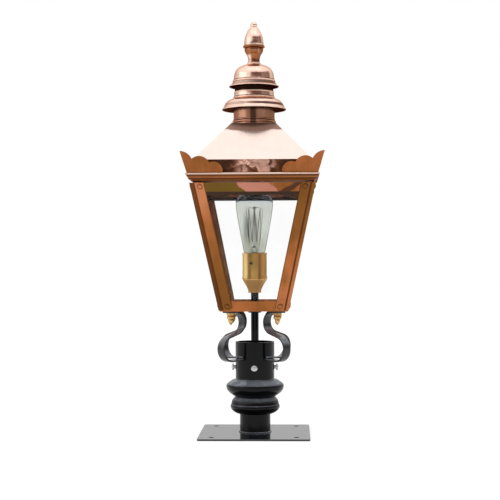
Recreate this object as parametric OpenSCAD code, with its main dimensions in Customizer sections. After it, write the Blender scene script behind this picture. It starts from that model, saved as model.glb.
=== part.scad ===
// Pillar lantern: a tapered four-pane copper lantern on a four-armed bracket and a turned pedestal.
// Millimetres. Origin at the middle of the base plate's underside, Z up, front towards -Y.

/* [Base plate] */
// side of the square base plate
plate_side = 185; // [170:1:240]
// thickness of the base plate
plate_t = 3; // [2:0.5:6]
// corner radius of the base plate
plate_corner_r = 4; // [1:0.5:10]
// spacing of the four anchor holes, both ways
anchor_spacing = 140; // [110:1:150]
// diameter of an anchor hole
anchor_hole_d = 9; // [6:0.5:11]
// diameter of the cable hole in the middle of the plate
cable_hole_d = 30; // [20:1:42]

/* [Pedestal] */
// height of the seat on which the bracket collar stands
pedestal_h = 95; // [92:1:140]
// outer diameter of the pedestal tube
tube_d = 52; // [48:0.5:54]
// wall of the pedestal tube
tube_wall = 3; // [2:0.25:4]
// leg of the weld bead between tube and plate
weld_leg = 2; // [1:0.5:4]
// height of the bead of the lower ring mould above its foot
lower_mould_h = 29; // [26:0.5:31]
// largest radius of the lower ring mould
lower_mould_r = 42; // [39:0.5:46]
// radius at the waist between the two ring moulds
waist_r = 34.5; // [31:0.5:37]
// largest radius of the upper ring mould
upper_mould_r = 49; // [44:0.5:54]
// height of the upper ring mould with its neck
upper_mould_h = 32; // [30:0.5:36]
// radius of the neck that carries the collar
seat_r = 32.5; // [32:0.25:35]
// height of the spigot sleeve above the seat
spigot_h = 55; // [40:1:58]

/* [Bracket] */
// bore of the bracket collar
collar_bore_d = 60; // [60:0.25:62]
// wall of the bracket collar
collar_wall = 3; // [2.5:0.25:5]
// height of the bracket collar
collar_h = 61; // [59:1:80]
// height of the four clamping screws above the seat
collar_screw_h = 18; // [12:1:25]
// shank diameter of a clamping screw
collar_screw_d = 6; // [4:0.5:8]
// head diameter of a clamping screw
collar_screw_head_d = 11; // [9:0.5:13]
// how far a clamping screw's head stands off the collar
collar_screw_neck = 3; // [0:0.5:4]
// width of the flat bar of a scroll arm
arm_w = 16; // [12:0.5:20]
// thickness of the flat bar of a scroll arm
arm_t = 3; // [2:0.25:3.5]
// distance from the seat up to the underside of the glazed body
body_lift = 114; // [111:1:130]
// distance from the axis to the centre of an arm's bend under the body
top_bend_x = 47.6; // [45:0.1:48]
// distance from the axis to the centre of an arm's bend beside the collar
low_bend_x = 56.6; // [55:0.1:62]
// angle at which the lower run rises to the collar
run_rise = 4.6; // [0:0.2:8]
// distance from the axis to the end of an arm's foot
foot_end_x = 66; // [64:0.5:72]
// distance from the axis to a frame bolt
bolt_x = 55; // [54.9:0.1:57]
// diameter of a frame bolt
bolt_d = 6; // [5:0.5:7]
// diameter of the flange of an acorn nut
nut_flange_d = 14.4; // [13:0.2:14.4]

/* [Glazed body] */
// width of the body across its bottom edge
body_bottom_w = 115.6; // [112:0.5:124]
// width of the body across its top edge
body_top_w = 205.4; // [190:0.5:206]
// height of the glazed body
body_h = 211; // [200:1:230]
// thickness of the frame's copper sheet
sheet_t = 1.2; // [0.8:0.1:1.5]
// width of each leg of a corner post
post_leg = 24; // [20:0.5:28]
// how far the bottom frame hangs below the posts
post_lift = 2; // [1:0.5:4]
// distance of the post's groove from its corner
groove_edge = 6; // [4:0.5:7]
// width of the groove
groove_w = 2; // [1:0.25:3]
// depth of the groove
groove_depth = 0.6; // [0.3:0.1:0.7]
// height of the bottom rails
bottom_rail_h = 17; // [14:0.5:22]
// height of the top rails
top_rail_h = 15; // [12:0.5:18]
// height of the set-back lip under the top rails
top_lip_h = 5; // [3:0.5:7]
// width of the flanges inside the frame
flange_w = 12; // [8:0.5:14]
// thickness of the floor tray
tray_t = 1.5; // [1:0.1:2.5]
// thickness of a glass pane
glass_t = 3; // [2:0.25:4]
// head diameter of a frame rivet
rivet_head_d = 7.8; // [6:0.2:8]
// shank diameter of a frame rivet
rivet_d = 3.2; // [2.4:0.1:4]

/* [Lamp] */
// height of the lampholder's foot above the body's underside
holder_lift = 30; // [24:0.5:40]
// outer diameter of the lampholder
holder_d = 41; // [39:0.5:44]
// height of the lampholder's shell
holder_shell_h = 43.5; // [42:0.5:50]
// outer diameter of the stem tube
stem_d = 13; // [11:0.5:14]
// bore of the stem tube
stem_bore_d = 9; // [6:0.5:9.5]
// length of the stem tube below the body
stem_drop = 66; // [60:1:75]
// largest diameter of the bulb
bulb_d = 64; // [56:1:70]
// height of the bulb's glass above the cap
bulb_h = 117; // [105:1:120]
// wall of the bulb's glass
bulb_wall = 0.9; // [0.6:0.1:1.2]
// outer diameter of the bulb's screw cap
bulb_cap_d = 26; // [25.4:0.1:26.4]
// wire diameter of the filament
filament_d = 0.8; // [0.6:0.1:1.2]

/* [Roof] */
// height of the cornice
cornice_h = 17; // [16.5:0.5:22]
// width of the cornice across its nose
cornice_w = 218; // [216:0.5:222]
// width of the roof's skirt
skirt_w = 196; // [192:0.5:198]
// height of the roof's skirt
skirt_h = 21; // [14:0.5:28]
// height of the pyramid roof
pyramid_h = 66; // [50:1:80]
// width of the pyramid across its flat top
pyramid_top_w = 73.4; // [73:0.2:80]
// thickness of the roof's sheet
roof_t = 1.2; // [0.8:0.1:1.5]
// height of a crown corner at its tip
crown_h = 34.4; // [28:0.2:40]
// how far a crown corner leans out between foot and tip
crown_lean = 10.6; // [4:0.1:10.7]
// thickness of a crown corner's sheet
crown_t = 1.2; // [0.8:0.1:1.5]
// length of a crown corner's leg along the cornice
crown_leg = 58.5; // [57:0.5:64]

/* [Chimney] */
// outer radius of the chimney neck
neck_r = 35; // [34:0.25:36]
// height of the chimney neck up to the lower cowl
neck_h = 43.3; // [40:0.5:50]
// radius of the lower cowl's rim
lower_cowl_r = 54.4; // [48:0.2:60]
// depth of the lower cowl from top to rim
lower_cowl_h = 18; // [15:0.5:22]
// radius of the band between the cowls
band_r = 33.4; // [32:0.2:33.8]
// height of the band between the cowls
band_h = 15; // [12:0.5:20]
// radius of the upper cowl's rim
upper_cowl_r = 42.2; // [40:0.2:48]
// height of the upper cowl
upper_cowl_h = 38; // [36:0.5:44]
// diameter of the tie rod
rod_d = 6; // [5:0.25:6]
// length of the finial's cup
cup_h = 32.5; // [30:0.5:36]
// radius of the finial's rim
cup_r = 18.4; // [16:0.2:20]
// length of the finial's spire
spire_h = 40; // [34:0.5:46]

/* [Hinges] */
// distance of each roof hinge from the middle
hinge_x = 50; // [30:1:58]
// length of a roof hinge
hinge_w = 24; // [18:1:30]
// radius of a hinge knuckle
knuckle_r = 3.5; // [3:0.1:3.6]
// diameter of a hinge pin
hinge_pin_d = 3; // [2:0.1:3]

/* [Hidden] */
$fn = 96;
fit = 0.05;
run_fit = 0.06;
body_z = pedestal_h + body_lift;
roof_z = body_z + body_h;
skirt_z = roof_z + cornice_h;
pyramid_z = skirt_z + skirt_h;
top_z = pyramid_z + pyramid_h;
cowl_z = top_z + neck_h;
band_z = cowl_z + roof_t;
hood_z = band_z + band_h;
cup_z = hood_z + upper_cowl_h + roof_t + 4;
spire_z = cup_z + cup_h;
taper = (body_top_w - body_bottom_w) / 2 / body_h;
tilt = atan(taper);
tube_r = tube_d / 2;
collar_r = collar_bore_d / 2 + collar_wall;
spigot_r = collar_bore_d / 2 - run_fit;
lower_mould_z = 34;
upper_mould_z = pedestal_h - upper_mould_h;
screw_z = pedestal_h + collar_screw_h;
top_bend_r = body_lift * 0.1605;
low_bend_r = body_lift * 0.1789;
low_bend_h = body_lift * 0.4474;
top_bend_z = body_z - arm_t / 2 - top_bend_r;
low_bend_z = pedestal_h + low_bend_h;
tray_z = body_z + sheet_t;
floor_z = tray_z + tray_t;
holder_z = body_z + holder_lift;
shell_z = holder_z + 24;
shell_top = shell_z + holder_shell_h;
cap_z = shell_z + 10;
bulb_z = cap_z + 24;
glass_in = 2 * sheet_t + 0.1;
rivet_in = post_leg - (post_leg - groove_edge - groove_w) / 2;
bottom_rivet_z = body_z + bottom_rail_h / 2;
top_rivet_z = roof_z - 6;
hinge_y = cornice_w / 2 + knuckle_r + 0.1;
hinge_z = roof_z + 1;
crown_base = cornice_w / 2 - 2.6;
crown_z = skirt_z - 1;
reach = 400;

// half width of the body's outer face at a height
function half_at(z) = body_bottom_w / 2 + (z - body_z) * taper;

// points of an arc, anticlockwise from one angle to another
function arc(cx, cy, r, from, to, n = 8) =
    [for (i = [0:n]) [cx + r * cos(from + (to - from) * i / n), cy + r * sin(from + (to - from) * i / n)]];

// square block whose half width follows a line of [half width, height] points
module profiled(line) {
    across = concat(line, [for (i = [len(line) - 1:-1:0]) [-line[i][0], line[i][1]]]);
    intersection() {
        rotate([90, 0, 0]) linear_extrude(height = reach, center = true) polygon(across);
        rotate([90, 0, 90]) linear_extrude(height = reach, center = true) polygon(across);
    }
}

// square block whose half width changes evenly with height
module block(h0, z0, h1, z1) {
    profiled([[h0, z0], [h1, z1]]);
}

// block that follows the body's taper, set in from its outer face
module body_block(inset, z0, z1) {
    block(half_at(z0) - inset, z0, half_at(z1) - inset, z1);
}

// sheet ring that follows the body's taper
module body_ring(inset, t, z0, z1) {
    difference() {
        body_block(inset, z0, z1);
        body_block(inset + t, z0 - 1, z1 + 1);
    }
}

// straight tube on the axis
module tube(r, wall, z0, z1) {
    difference() {
        translate([0, 0, z0]) cylinder(r = r, h = z1 - z0);
        translate([0, 0, z0 - 1]) cylinder(r = r - wall, h = z1 - z0 + 2);
    }
}

// turned piece with a bore
module turned(points, bore_r, z0, z1) {
    difference() {
        rotate_extrude() polygon(points);
        translate([0, 0, z0 - 1]) cylinder(r = bore_r, h = z1 - z0 + 2);
    }
}

// frame of a point on the front face, with Z along the face's outward normal
module on_front(x, z) {
    translate([x, -half_at(z), z]) rotate([90 + tilt, 0, 0]) children();
}

// the same thing at each of the four sides
module four_sides() {
    for (i = [0:3]) rotate([0, 0, 90 * i]) children();
}

// places of the four frame bolts, on the diagonals
module at_bolts() {
    for (i = [0:3]) rotate([0, 0, 45 + 90 * i]) translate([bolt_x, 0, 0]) children();
}

// steel plate with four anchor holes and a cable hole
module base_plate() {
    s = plate_side / 2;
    c = s - plate_corner_r;
    color([0.1, 0.1, 0.1])
    difference() {
        union() {
            translate([-s, -c, 0]) cube([2 * s, 2 * c, plate_t]);
            translate([-c, -s, 0]) cube([2 * c, 2 * s, plate_t]);
            for (x = [-c, c])
                for (y = [-c, c])
                    translate([x, y, 0]) cylinder(r = plate_corner_r, h = plate_t);
        }
        for (x = [-1, 1])
            for (y = [-1, 1])
                translate([x * anchor_spacing / 2, y * anchor_spacing / 2, -1])
                    cylinder(d = anchor_hole_d, h = plate_t + 2);
        translate([0, 0, -1]) cylinder(d = cable_hole_d, h = plate_t + 2);
    }
}

// round tube from the plate up to the top of the spigot, with its weld bead
module pedestal_tube() {
    color([0.1, 0.1, 0.1])
    union() {
        tube(tube_r, tube_wall, plate_t, pedestal_h + spigot_h);
        turned([[tube_r - 1, plate_t], [tube_r + weld_leg, plate_t],
            [tube_r + weld_leg * 0.7, plate_t + weld_leg * 0.7], [tube_r, plate_t + weld_leg],
            [tube_r - 1, plate_t + weld_leg]], tube_r - tube_wall, plate_t, plate_t + weld_leg);
    }
}

// lower ring mould: an ovolo over the tube, a step and a slope up to the waist
module lower_ring_mould() {
    z0 = lower_mould_z;
    z1 = upper_mould_z;
    foot_r = tube_r + 1.2;
    color([0.1, 0.1, 0.1])
    turned(concat([[tube_r - 2, z0], [foot_r, z0]],
        arc(foot_r, z0 + 10, lower_mould_r - foot_r - 1, -80, -6, 7),
        [[lower_mould_r, z0 + 10.5], [lower_mould_r, z0 + 13.5], [lower_mould_r - 1.2, z0 + 16],
        [lower_mould_r - 2, z0 + 19.5]],
        [for (p = arc(waist_r + 4.6, z1 - 1.5, 4.6, -115, -172, 5)) [p[0], p[1]]],
        [[waist_r, z1], [tube_r - 2, z1]]), tube_r + fit, z0, z1);
}

// upper ring mould: the wide ovolo, and the neck on which the collar stands
module upper_ring_mould() {
    z0 = upper_mould_z;
    z1 = pedestal_h;
    color([0.1, 0.1, 0.1])
    turned(concat([[tube_r - 2, z0], [waist_r, z0]],
        arc(waist_r, z0 + 15.5, upper_mould_r - waist_r - 1.3, -82, -8, 7),
        [[upper_mould_r, z0 + 16], [upper_mould_r, z0 + 19], [upper_mould_r - 1.6, z0 + 22],
        [seat_r + 9, z0 + 25.5], [seat_r + 3.5, z1 - 2.6], [seat_r, z1 - 2], [seat_r, z1], [tube_r - 2, z1]]),
        tube_r + fit, z0, z1);
}

// sleeve that brings the tube up to the bore of the collar
module spigot_sleeve() {
    color([0.12, 0.12, 0.12])
    tube(spigot_r, spigot_r - tube_r - fit, pedestal_h, pedestal_h + spigot_h);
}

// collar of the bracket, tapped for four clamping screws
module bracket_collar() {
    color([0.1, 0.1, 0.1])
    difference() {
        tube(collar_r, collar_wall, pedestal_h, pedestal_h + collar_h);
        four_sides()
            translate([0, 0, screw_z]) rotate([90, 0, 0])
                cylinder(d = collar_screw_d + 2 * fit, h = collar_r + 1);
    }
}

// four pan-head screws with a cross recess
module collar_screws() {
    color([0.75, 0.75, 0.77])
    four_sides()
        translate([0, -collar_r, screw_z]) rotate([90, 0, 0]) {
            difference() {
                union() {
                    translate([0, 0, -collar_wall])
                        cylinder(d = collar_screw_d, h = collar_wall + collar_screw_neck + 1);
                    translate([0, 0, collar_screw_neck])
                        rotate_extrude()
                            polygon(concat([[0, 0], [collar_screw_head_d / 2, 0], [collar_screw_head_d / 2, 1]],
                                arc(collar_screw_head_d / 2 - 2.6, 1, 2.6, 15, 75, 4), [[0, 3.8]]));
                }
                translate([-2.6, -0.5, collar_screw_neck + 2]) cube([5.2, 1, 3]);
                translate([-0.5, -2.6, collar_screw_neck + 2]) cube([1, 5.2, 3]);
            }
        }
}

// bent part of a flat bar, seen from its side
module bend(cx, cy, r, from, to) {
    translate([cx, cy])
        intersection() {
            difference() {
                circle(r = r + arm_t / 2);
                circle(r = r - arm_t / 2);
            }
            polygon(concat([[0, 0]], arc(0, 0, 2 * r, from, to, 6)));
        }
}

// straight part of a flat bar between two points of its middle line
module run(p, q) {
    d = norm(q - p);
    translate(p) rotate(atan2(q[1] - p[1], q[0] - p[0]))
        translate([-0.3, -arm_t / 2]) square([d + 0.6, arm_t]);
}

// one scroll arm along +X: foot under the body, two bends and the weld at the collar
module scroll_arm() {
    c1 = [top_bend_x, top_bend_z];
    c2 = [low_bend_x, low_bend_z];
    d = norm(c2 - c1);
    link = atan2(c2[1] - c1[1], c2[0] - c1[0]) - acos((top_bend_r + low_bend_r) / d);
    n = [cos(link), sin(link)];
    low_end = c2 + low_bend_r * [cos(-90 - run_rise), sin(-90 - run_rise)];
    run_len = (low_end[0] - collar_r + 3) / cos(run_rise);
    color([0.1, 0.1, 0.1])
    difference() {
        union() {
            rotate([90, 0, 0])
                linear_extrude(height = arm_w, center = true)
                    union() {
                        run([top_bend_x, body_z - arm_t / 2], [foot_end_x, body_z - arm_t / 2]);
                        bend(c1[0], c1[1], top_bend_r, 90, link + 360);
                        run(c1 + top_bend_r * n, c2 - low_bend_r * n);
                        bend(c2[0], c2[1], low_bend_r, -90 - run_rise, link + 180);
                        run(low_end, low_end + run_len * [-cos(run_rise), sin(run_rise)]);
                    }
            translate([collar_r + 1.2, 0, low_end[1] + (low_end[0] - collar_r) * tan(run_rise) + arm_t / 2 + 1])
                rotate([90, 0, 0]) cylinder(r = 3.2, h = arm_w - 1, center = true);
        }
        cylinder(r = collar_r, h = pedestal_h + collar_h + 1);
        translate([bolt_x, 0, body_z - 8]) cylinder(d = bolt_d + 2 * fit, h = 10);
    }
}

module scroll_arm_front_left() { rotate([0, 0, 225]) scroll_arm(); }

module scroll_arm_front_right() { rotate([0, 0, 315]) scroll_arm(); }

module scroll_arm_back_right() { rotate([0, 0, 45]) scroll_arm(); }

module scroll_arm_back_left() { rotate([0, 0, 135]) scroll_arm(); }

// four hexagon bolts down through tray, frame and arm feet
module frame_bolts() {
    color([0.6, 0.6, 0.62])
    at_bolts()
        union() {
            translate([0, 0, floor_z]) cylinder(d = 11, h = 4, $fn = 6);
            translate([0, 0, body_z - arm_t - 14]) cylinder(d = bolt_d, h = arm_t + 14 + floor_z - body_z + 1);
        }
}

// four brass acorn nuts under the arm feet
module acorn_nuts() {
    f = nut_flange_d / 2;
    top = body_z - arm_t;
    color([0.72, 0.56, 0.28])
    at_bolts()
        difference() {
            translate([0, 0, top]) mirror([0, 0, 1])
                rotate_extrude()
                    polygon(concat([[0, 0], [f, 0], [f, 3.2], [f - 1.2, 4.2], [f - 1.6, 5]],
                        arc(f - 3.2, 7.4, 2.8, -50, 50, 5), [[f - 2.6, 10.2], [f - 2.9, 11.4]],
                        arc(0, 14.6, 4.4, -12, 62, 5), [[1.4, 19.2], [0.8, 20], [0, 20.2]]));
            translate([0, 0, top - 14.1]) cylinder(d = bolt_d + 2 * fit, h = 15);
        }
}

// black threaded tube that carries the lampholder and leads the cable up
module stem_tube() {
    color([0.1, 0.1, 0.1])
    tube(stem_d / 2, (stem_d - stem_bore_d) / 2, body_z - stem_drop, holder_z + 9);
}

// two hexagon locknuts that grip the tray
module stem_locknuts() {
    color([0.7, 0.55, 0.28])
    for (z = [floor_z, body_z - 4])
        difference() {
            translate([0, 0, z]) cylinder(d = 22, h = 4, $fn = 6);
            translate([0, 0, z - 1]) cylinder(d = stem_d + 2 * fit, h = 6);
        }
}

// floor of the body, resting on the bottom frame's flange
module floor_tray() {
    s = half_at(tray_z) - 2 * sheet_t - 0.3;
    color([0.55, 0.33, 0.2])
    difference() {
        union() {
            translate([-s, -s, tray_z]) cube([2 * s, 2 * s, tray_t]);
            translate([0, 0, body_z]) cylinder(r = 16, h = tray_t + sheet_t);
        }
        translate([0, 0, body_z - 1]) cylinder(d = stem_d + 2 * fit, h = 10);
        at_bolts() translate([0, 0, body_z - 1]) cylinder(d = bolt_d + 2 * fit, h = 10);
        for (i = [0:3]) rotate([0, 0, 90 * i])
            translate([0, -s * 0.45, body_z - 1]) cylinder(d = 6, h = 10);
    }
}

// four bottom rails in one folded ring, with the flange that carries the tray
module bottom_frame() {
    in = half_at(body_z) - sheet_t - flange_w - 10;
    color([0.62, 0.38, 0.24])
    difference() {
        body_block(sheet_t, body_z, body_z + bottom_rail_h);
        body_block(2 * sheet_t, body_z + sheet_t, body_z + bottom_rail_h + 1);
        translate([-in, -in, body_z - 1]) cube([2 * in, 2 * in, sheet_t + 2]);
        at_bolts() translate([0, 0, body_z - 1]) cylinder(d = bolt_d + 2 * fit, h = 10);
        four_sides() rivet_holes(bottom_rivet_z);
    }
}

// four top rails in one folded ring, with the set-back lip and the seat of the roof
module top_frame() {
    lip_z = roof_z - top_rail_h - top_lip_h;
    mouth = half_at(roof_z) - sheet_t - flange_w;
    color([0.5, 0.36, 0.2])
    difference() {
        union() {
            body_block(sheet_t, roof_z - top_rail_h, roof_z);
            body_block(sheet_t * 1.5, lip_z, roof_z - top_rail_h + 0.5);
        }
        body_block(2 * sheet_t, lip_z - 1, roof_z - sheet_t);
        block(mouth, roof_z - 5, mouth, roof_z + 1);
        four_sides() rivet_holes(top_rivet_z);
    }
}

// pair of rivet holes in the front face
module rivet_holes(z) {
    for (s = [-1, 1])
        on_front(s * (half_at(z) - rivet_in), z)
            translate([0, 0, -5]) cylinder(d = rivet_d + 2 * fit, h = 8);
}

// front wall of the body alone, between two insets
module front_wall(inset, t, z0, z1) {
    rotate([90, 0, 90])
        linear_extrude(height = reach, center = true)
            polygon([[inset - half_at(z0), z0], [inset + t - half_at(z0), z0],
                [inset + t - half_at(z1), z1], [inset - half_at(z1), z1]]);
}

// strip of the front wall between two distances from its right-hand edge
module edge_strip(near, far, z0, z1) {
    rotate([90, 0, 0])
        linear_extrude(height = reach)
            polygon([[half_at(z0) - far, z0], [half_at(z0) - near, z0], [half_at(z1) - near, z1],
                [half_at(z1) - far, z1]]);
}

// one leg's width of the front wall, with its lower inside corner rounded
module post_leg_shape(z0, z1) {
    r = 5;
    difference() {
        edge_strip(0, post_leg, z0, z1);
        rotate([90, 0, 0])
            linear_extrude(height = reach)
                translate([half_at(z0) - post_leg - 1, z0 - 1])
                    difference() {
                        square([r + 1, r + 1]);
                        translate([r + 1 + r * taper, r + 1]) circle(r = r);
                    }
    }
}

// one leg of a corner post: sheet in the front wall, grooved along its edge
module post_leg_sheet(z0) {
    difference() {
        intersection() {
            front_wall(0, sheet_t, z0, roof_z);
            post_leg_shape(z0, roof_z);
        }
        intersection() {
            front_wall(-1, 1 + groove_depth, z0 - 1, roof_z + 1);
            edge_strip(groove_edge, groove_edge + groove_w, z0 - 1, roof_z + 1);
        }
        for (z = [bottom_rivet_z, top_rivet_z]) rivet_holes(z);
    }
}

// one folded corner post at the front right, grooved on both faces
module corner_post() {
    color([0.71, 0.43, 0.27])
    union() {
        post_leg_sheet(body_z + post_lift);
        rotate([0, 0, 90]) mirror([1, 0, 0]) post_leg_sheet(body_z + post_lift);
    }
}

module corner_post_front_right() { corner_post(); }

module corner_post_back_right() { rotate([0, 0, 90]) corner_post(); }

module corner_post_back_left() { rotate([0, 0, 180]) corner_post(); }

module corner_post_front_left() { rotate([0, 0, 270]) corner_post(); }

// front pane, behind the rails and clear of its neighbours
module pane() {
    z0 = floor_z + 0.2;
    z1 = roof_z - sheet_t - 0.5;
    side_in = glass_in + glass_t + 2;
    color([0.85, 0.9, 0.9, 0.3])
    intersection() {
        body_ring(glass_in, glass_t, z0, z1);
        rotate([90, 0, 0])
            linear_extrude(height = reach)
                polygon([[side_in - half_at(z0), z0], [half_at(z0) - side_in, z0],
                    [half_at(z1) - side_in, z1], [side_in - half_at(z1), z1]]);
    }
}

module glass_front() { pane(); }

module glass_right() { rotate([0, 0, 90]) pane(); }

module glass_back() { rotate([0, 0, 180]) pane(); }

module glass_left() { rotate([0, 0, 270]) pane(); }

// spring tabs that press each pane against the frame, below on the tray and above under the flange
module glazing_clips() {
    in = glass_in + glass_t + 0.1;
    low_z1 = floor_z + 12;
    high_z0 = roof_z - sheet_t - 12;
    color([0.66, 0.42, 0.27])
    four_sides() {
        intersection() {
            union() {
                body_ring(in, 0.8, floor_z, low_z1);
                difference() {
                    body_block(in, floor_z, floor_z + 0.8);
                    body_block(in + 8, floor_z - 1, floor_z + 2);
                }
            }
            translate([-7, -reach, 0]) cube([14, reach, roof_z]);
        }
        for (x = [-1, 1])
            intersection() {
                union() {
                    body_ring(in, 0.8, high_z0, roof_z - sheet_t);
                    difference() {
                        body_block(in, roof_z - sheet_t - 0.8, roof_z - sheet_t);
                        body_block(in + 6, roof_z - sheet_t - 2, roof_z);
                    }
                }
                translate([x * 40 - 6, -reach, 0]) cube([12, reach, roof_z]);
            }
    }
}

// domed rivets that join the posts to the rails
module frame_rivets() {
    color([0.78, 0.5, 0.33])
    four_sides()
        for (z = [bottom_rivet_z, top_rivet_z])
            for (s = [-1, 1])
                on_front(s * (half_at(z) - rivet_in), z)
                    union() {
                        translate([0, 0, -2 * sheet_t * cos(tilt)])
                            cylinder(d = rivet_d, h = 2 * sheet_t * cos(tilt) + 0.5);
                        rotate_extrude()
                            polygon(concat([[0, 0], [rivet_head_d / 2, 0]],
                                [for (a = [0:15:75]) [rivet_head_d / 2 * cos(a), 0.3 + 2.2 * sin(a)]], [[0, 2.5]]));
                    }
}

// brass cap of the lampholder: threaded boss and dome
module lampholder_cap() {
    r = holder_d / 2;
    w = 1.2;
    color([0.75, 0.58, 0.3])
    difference() {
        rotate_extrude()
            polygon([[0, holder_z], [10.5, holder_z], [11, holder_z + 1], [11, holder_z + 4],
                [11.6, holder_z + 5.4], [12.8, holder_z + 8.6], [16, holder_z + 14.5], [18.6, holder_z + 19],
                [r, holder_z + 22.2], [r, shell_z], [0, shell_z]]);
        translate([0, 0, holder_z - 1]) cylinder(d = stem_d + 2 * fit, h = 14);
        rotate_extrude()
            polygon([[0, holder_z + 10.5], [11.6, holder_z + 10.5], [14.6, holder_z + 15.6],
                [17.2, holder_z + 20], [r - 1.6 - w, shell_z + 1], [0, shell_z + 1]]);
    }
}

// brass shell of the lampholder with a rolled rim at each end
module lampholder_shell() {
    r = holder_d / 2;
    color([0.78, 0.6, 0.32])
    turned([[r - 2, shell_z], [r, shell_z], [r + 0.7, shell_z + 1], [r + 0.7, shell_z + 2.5],
        [r, shell_z + 3.5], [r, shell_top - 3], [r + 0.5, shell_top - 2.2], [r + 0.5, shell_top - 0.8],
        [r, shell_top], [r - 2, shell_top]], r - 1.1, shell_z, shell_top);
}

// porcelain core with the threaded seat of the bulb
module lampholder_core() {
    r = holder_d / 2 - 1.1 - fit;
    color([0.93, 0.92, 0.9])
    difference() {
        translate([0, 0, shell_z]) cylinder(r = r, h = bulb_z - 0.5 - shell_z);
        translate([0, 0, cap_z - 3]) cylinder(r = bulb_cap_d / 2 + fit, h = holder_shell_h);
        for (x = [-8, 8]) translate([x, 0, shell_z - 1]) cylinder(r = 1.5, h = 10);
    }
}

// sprung centre contact and its two terminal pins
module lampholder_contacts() {
    color([0.8, 0.62, 0.32])
    union() {
        translate([0, 0, cap_z - 3]) cylinder(r = 4, h = 1.6);
        translate([-10, -2.5, cap_z - 3]) cube([20, 5, 0.8]);
        for (x = [-8, 8]) translate([x, 0, shell_z - 4]) cylinder(r = 1.4, h = cap_z - shell_z + 1.4);
    }
}

// grub screw that locks the shell
module lampholder_screw() {
    r = holder_d / 2;
    color([0.2, 0.16, 0.12])
    rotate([0, 0, -14])
        translate([0, -r, shell_z + holder_shell_h * 0.6]) rotate([90, 0, 0])
            difference() {
                cylinder(r = 2.5, h = 1.4);
                translate([-2, -0.4, 0.8]) cube([4, 0.8, 2]);
            }
}

// outline of the bulb's glass, set in by a wall
function bulb_line(w) =
    let (r = bulb_d / 2 - w, top = bulb_z + bulb_h - w, belly = bulb_z + bulb_h - 24)
    concat([[bulb_cap_d / 2 - 1 - w, bulb_z - 6], [bulb_cap_d / 2 - 1 - w, bulb_z],
        [bulb_cap_d / 2 + 2.4 - w, bulb_z + 4.5], [18.6 - w, bulb_z + 11], [19.7 - w, bulb_z + 16],
        [r * 0.74, bulb_z + bulb_h * 0.33], [r * 0.87, bulb_z + bulb_h * 0.52],
        [r * 0.975, bulb_z + bulb_h * 0.70]],
        [for (a = [0:10:80]) [r * cos(a), belly + (top - belly) * sin(a)]]);

// clear bulb envelope
module bulb_glass() {
    color([0.9, 0.92, 0.92, 0.3])
    difference() {
        rotate_extrude()
            polygon(concat([[0, bulb_z - 6]], bulb_line(0), [[0, bulb_z + bulb_h]]));
        rotate_extrude()
            polygon(concat([[0, bulb_z - 5], [bulb_cap_d / 2 - 1 - bulb_wall, bulb_z - 5]],
                [for (i = [1:len(bulb_line(bulb_wall)) - 1]) bulb_line(bulb_wall)[i]],
                [[0, bulb_z + bulb_h - bulb_wall]]));
    }
}

// screw cap of the bulb
module bulb_cap() {
    r = bulb_cap_d / 2;
    p = 3.6;
    color([0.75, 0.75, 0.74])
    difference() {
        rotate_extrude()
            polygon(concat([[0, cap_z], [r - 4, cap_z], [r - 1.4, cap_z + 2.4]],
                [for (i = [0:2]) each [[r, cap_z + 4.2 + p * i], [r - 1, cap_z + 4.2 + p * (i + 0.5)]]],
                [[r, cap_z + 15], [r - 0.3, cap_z + 16], [r - 0.3, bulb_z - 0.4], [0, bulb_z - 0.4]]));
        translate([0, 0, bulb_z - 6 - fit]) cylinder(r = r - 1 + fit / 2, h = 10);
        translate([0, 0, cap_z + 2.6]) cylinder(r = r - 2.4, h = 20);
        translate([0, 0, cap_z - 1]) cylinder(r = 5.2, h = 6);
    }
}

// insulator with the bulb's centre contact
module bulb_contact() {
    color([0.2, 0.2, 0.22])
    union() {
        translate([0, 0, cap_z]) cylinder(r = 5.2 - fit, h = 2.6);
        translate([0, 0, cap_z - 1.4]) cylinder(r1 = 3, r2 = 4.4, h = 1.4);
    }
}

// outline of the glass stem, grown all round by a clearance
function stem_line(grow) =
    let (k = bulb_h / 117, r = bulb_cap_d / 26)
    [[0, bulb_z - 5 - grow], [10.15 * r + grow, bulb_z - 5 - grow], [8 * r + grow, bulb_z - k + grow],
        [4.5 * r + grow, bulb_z + 6 * k], [4 * r + grow, bulb_z + 16 * k], [2 * r + grow, bulb_z + 18 * k],
        [1.6 * r + grow, bulb_z + 84 * k], [0, bulb_z + 84 * k]];

// ball at the top of the glass stem, grown by a clearance
module stem_ball(grow) {
    translate([0, 0, bulb_z + bulb_h * 0.735]) sphere(r = bulb_cap_d * 0.092 + grow);
}

// glass stem with its flare, the middle rod and its ball
module bulb_stem() {
    color([0.88, 0.9, 0.9, 0.5])
    union() {
        rotate_extrude() polygon(stem_line(0));
        stem_ball(0);
    }
}

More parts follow.
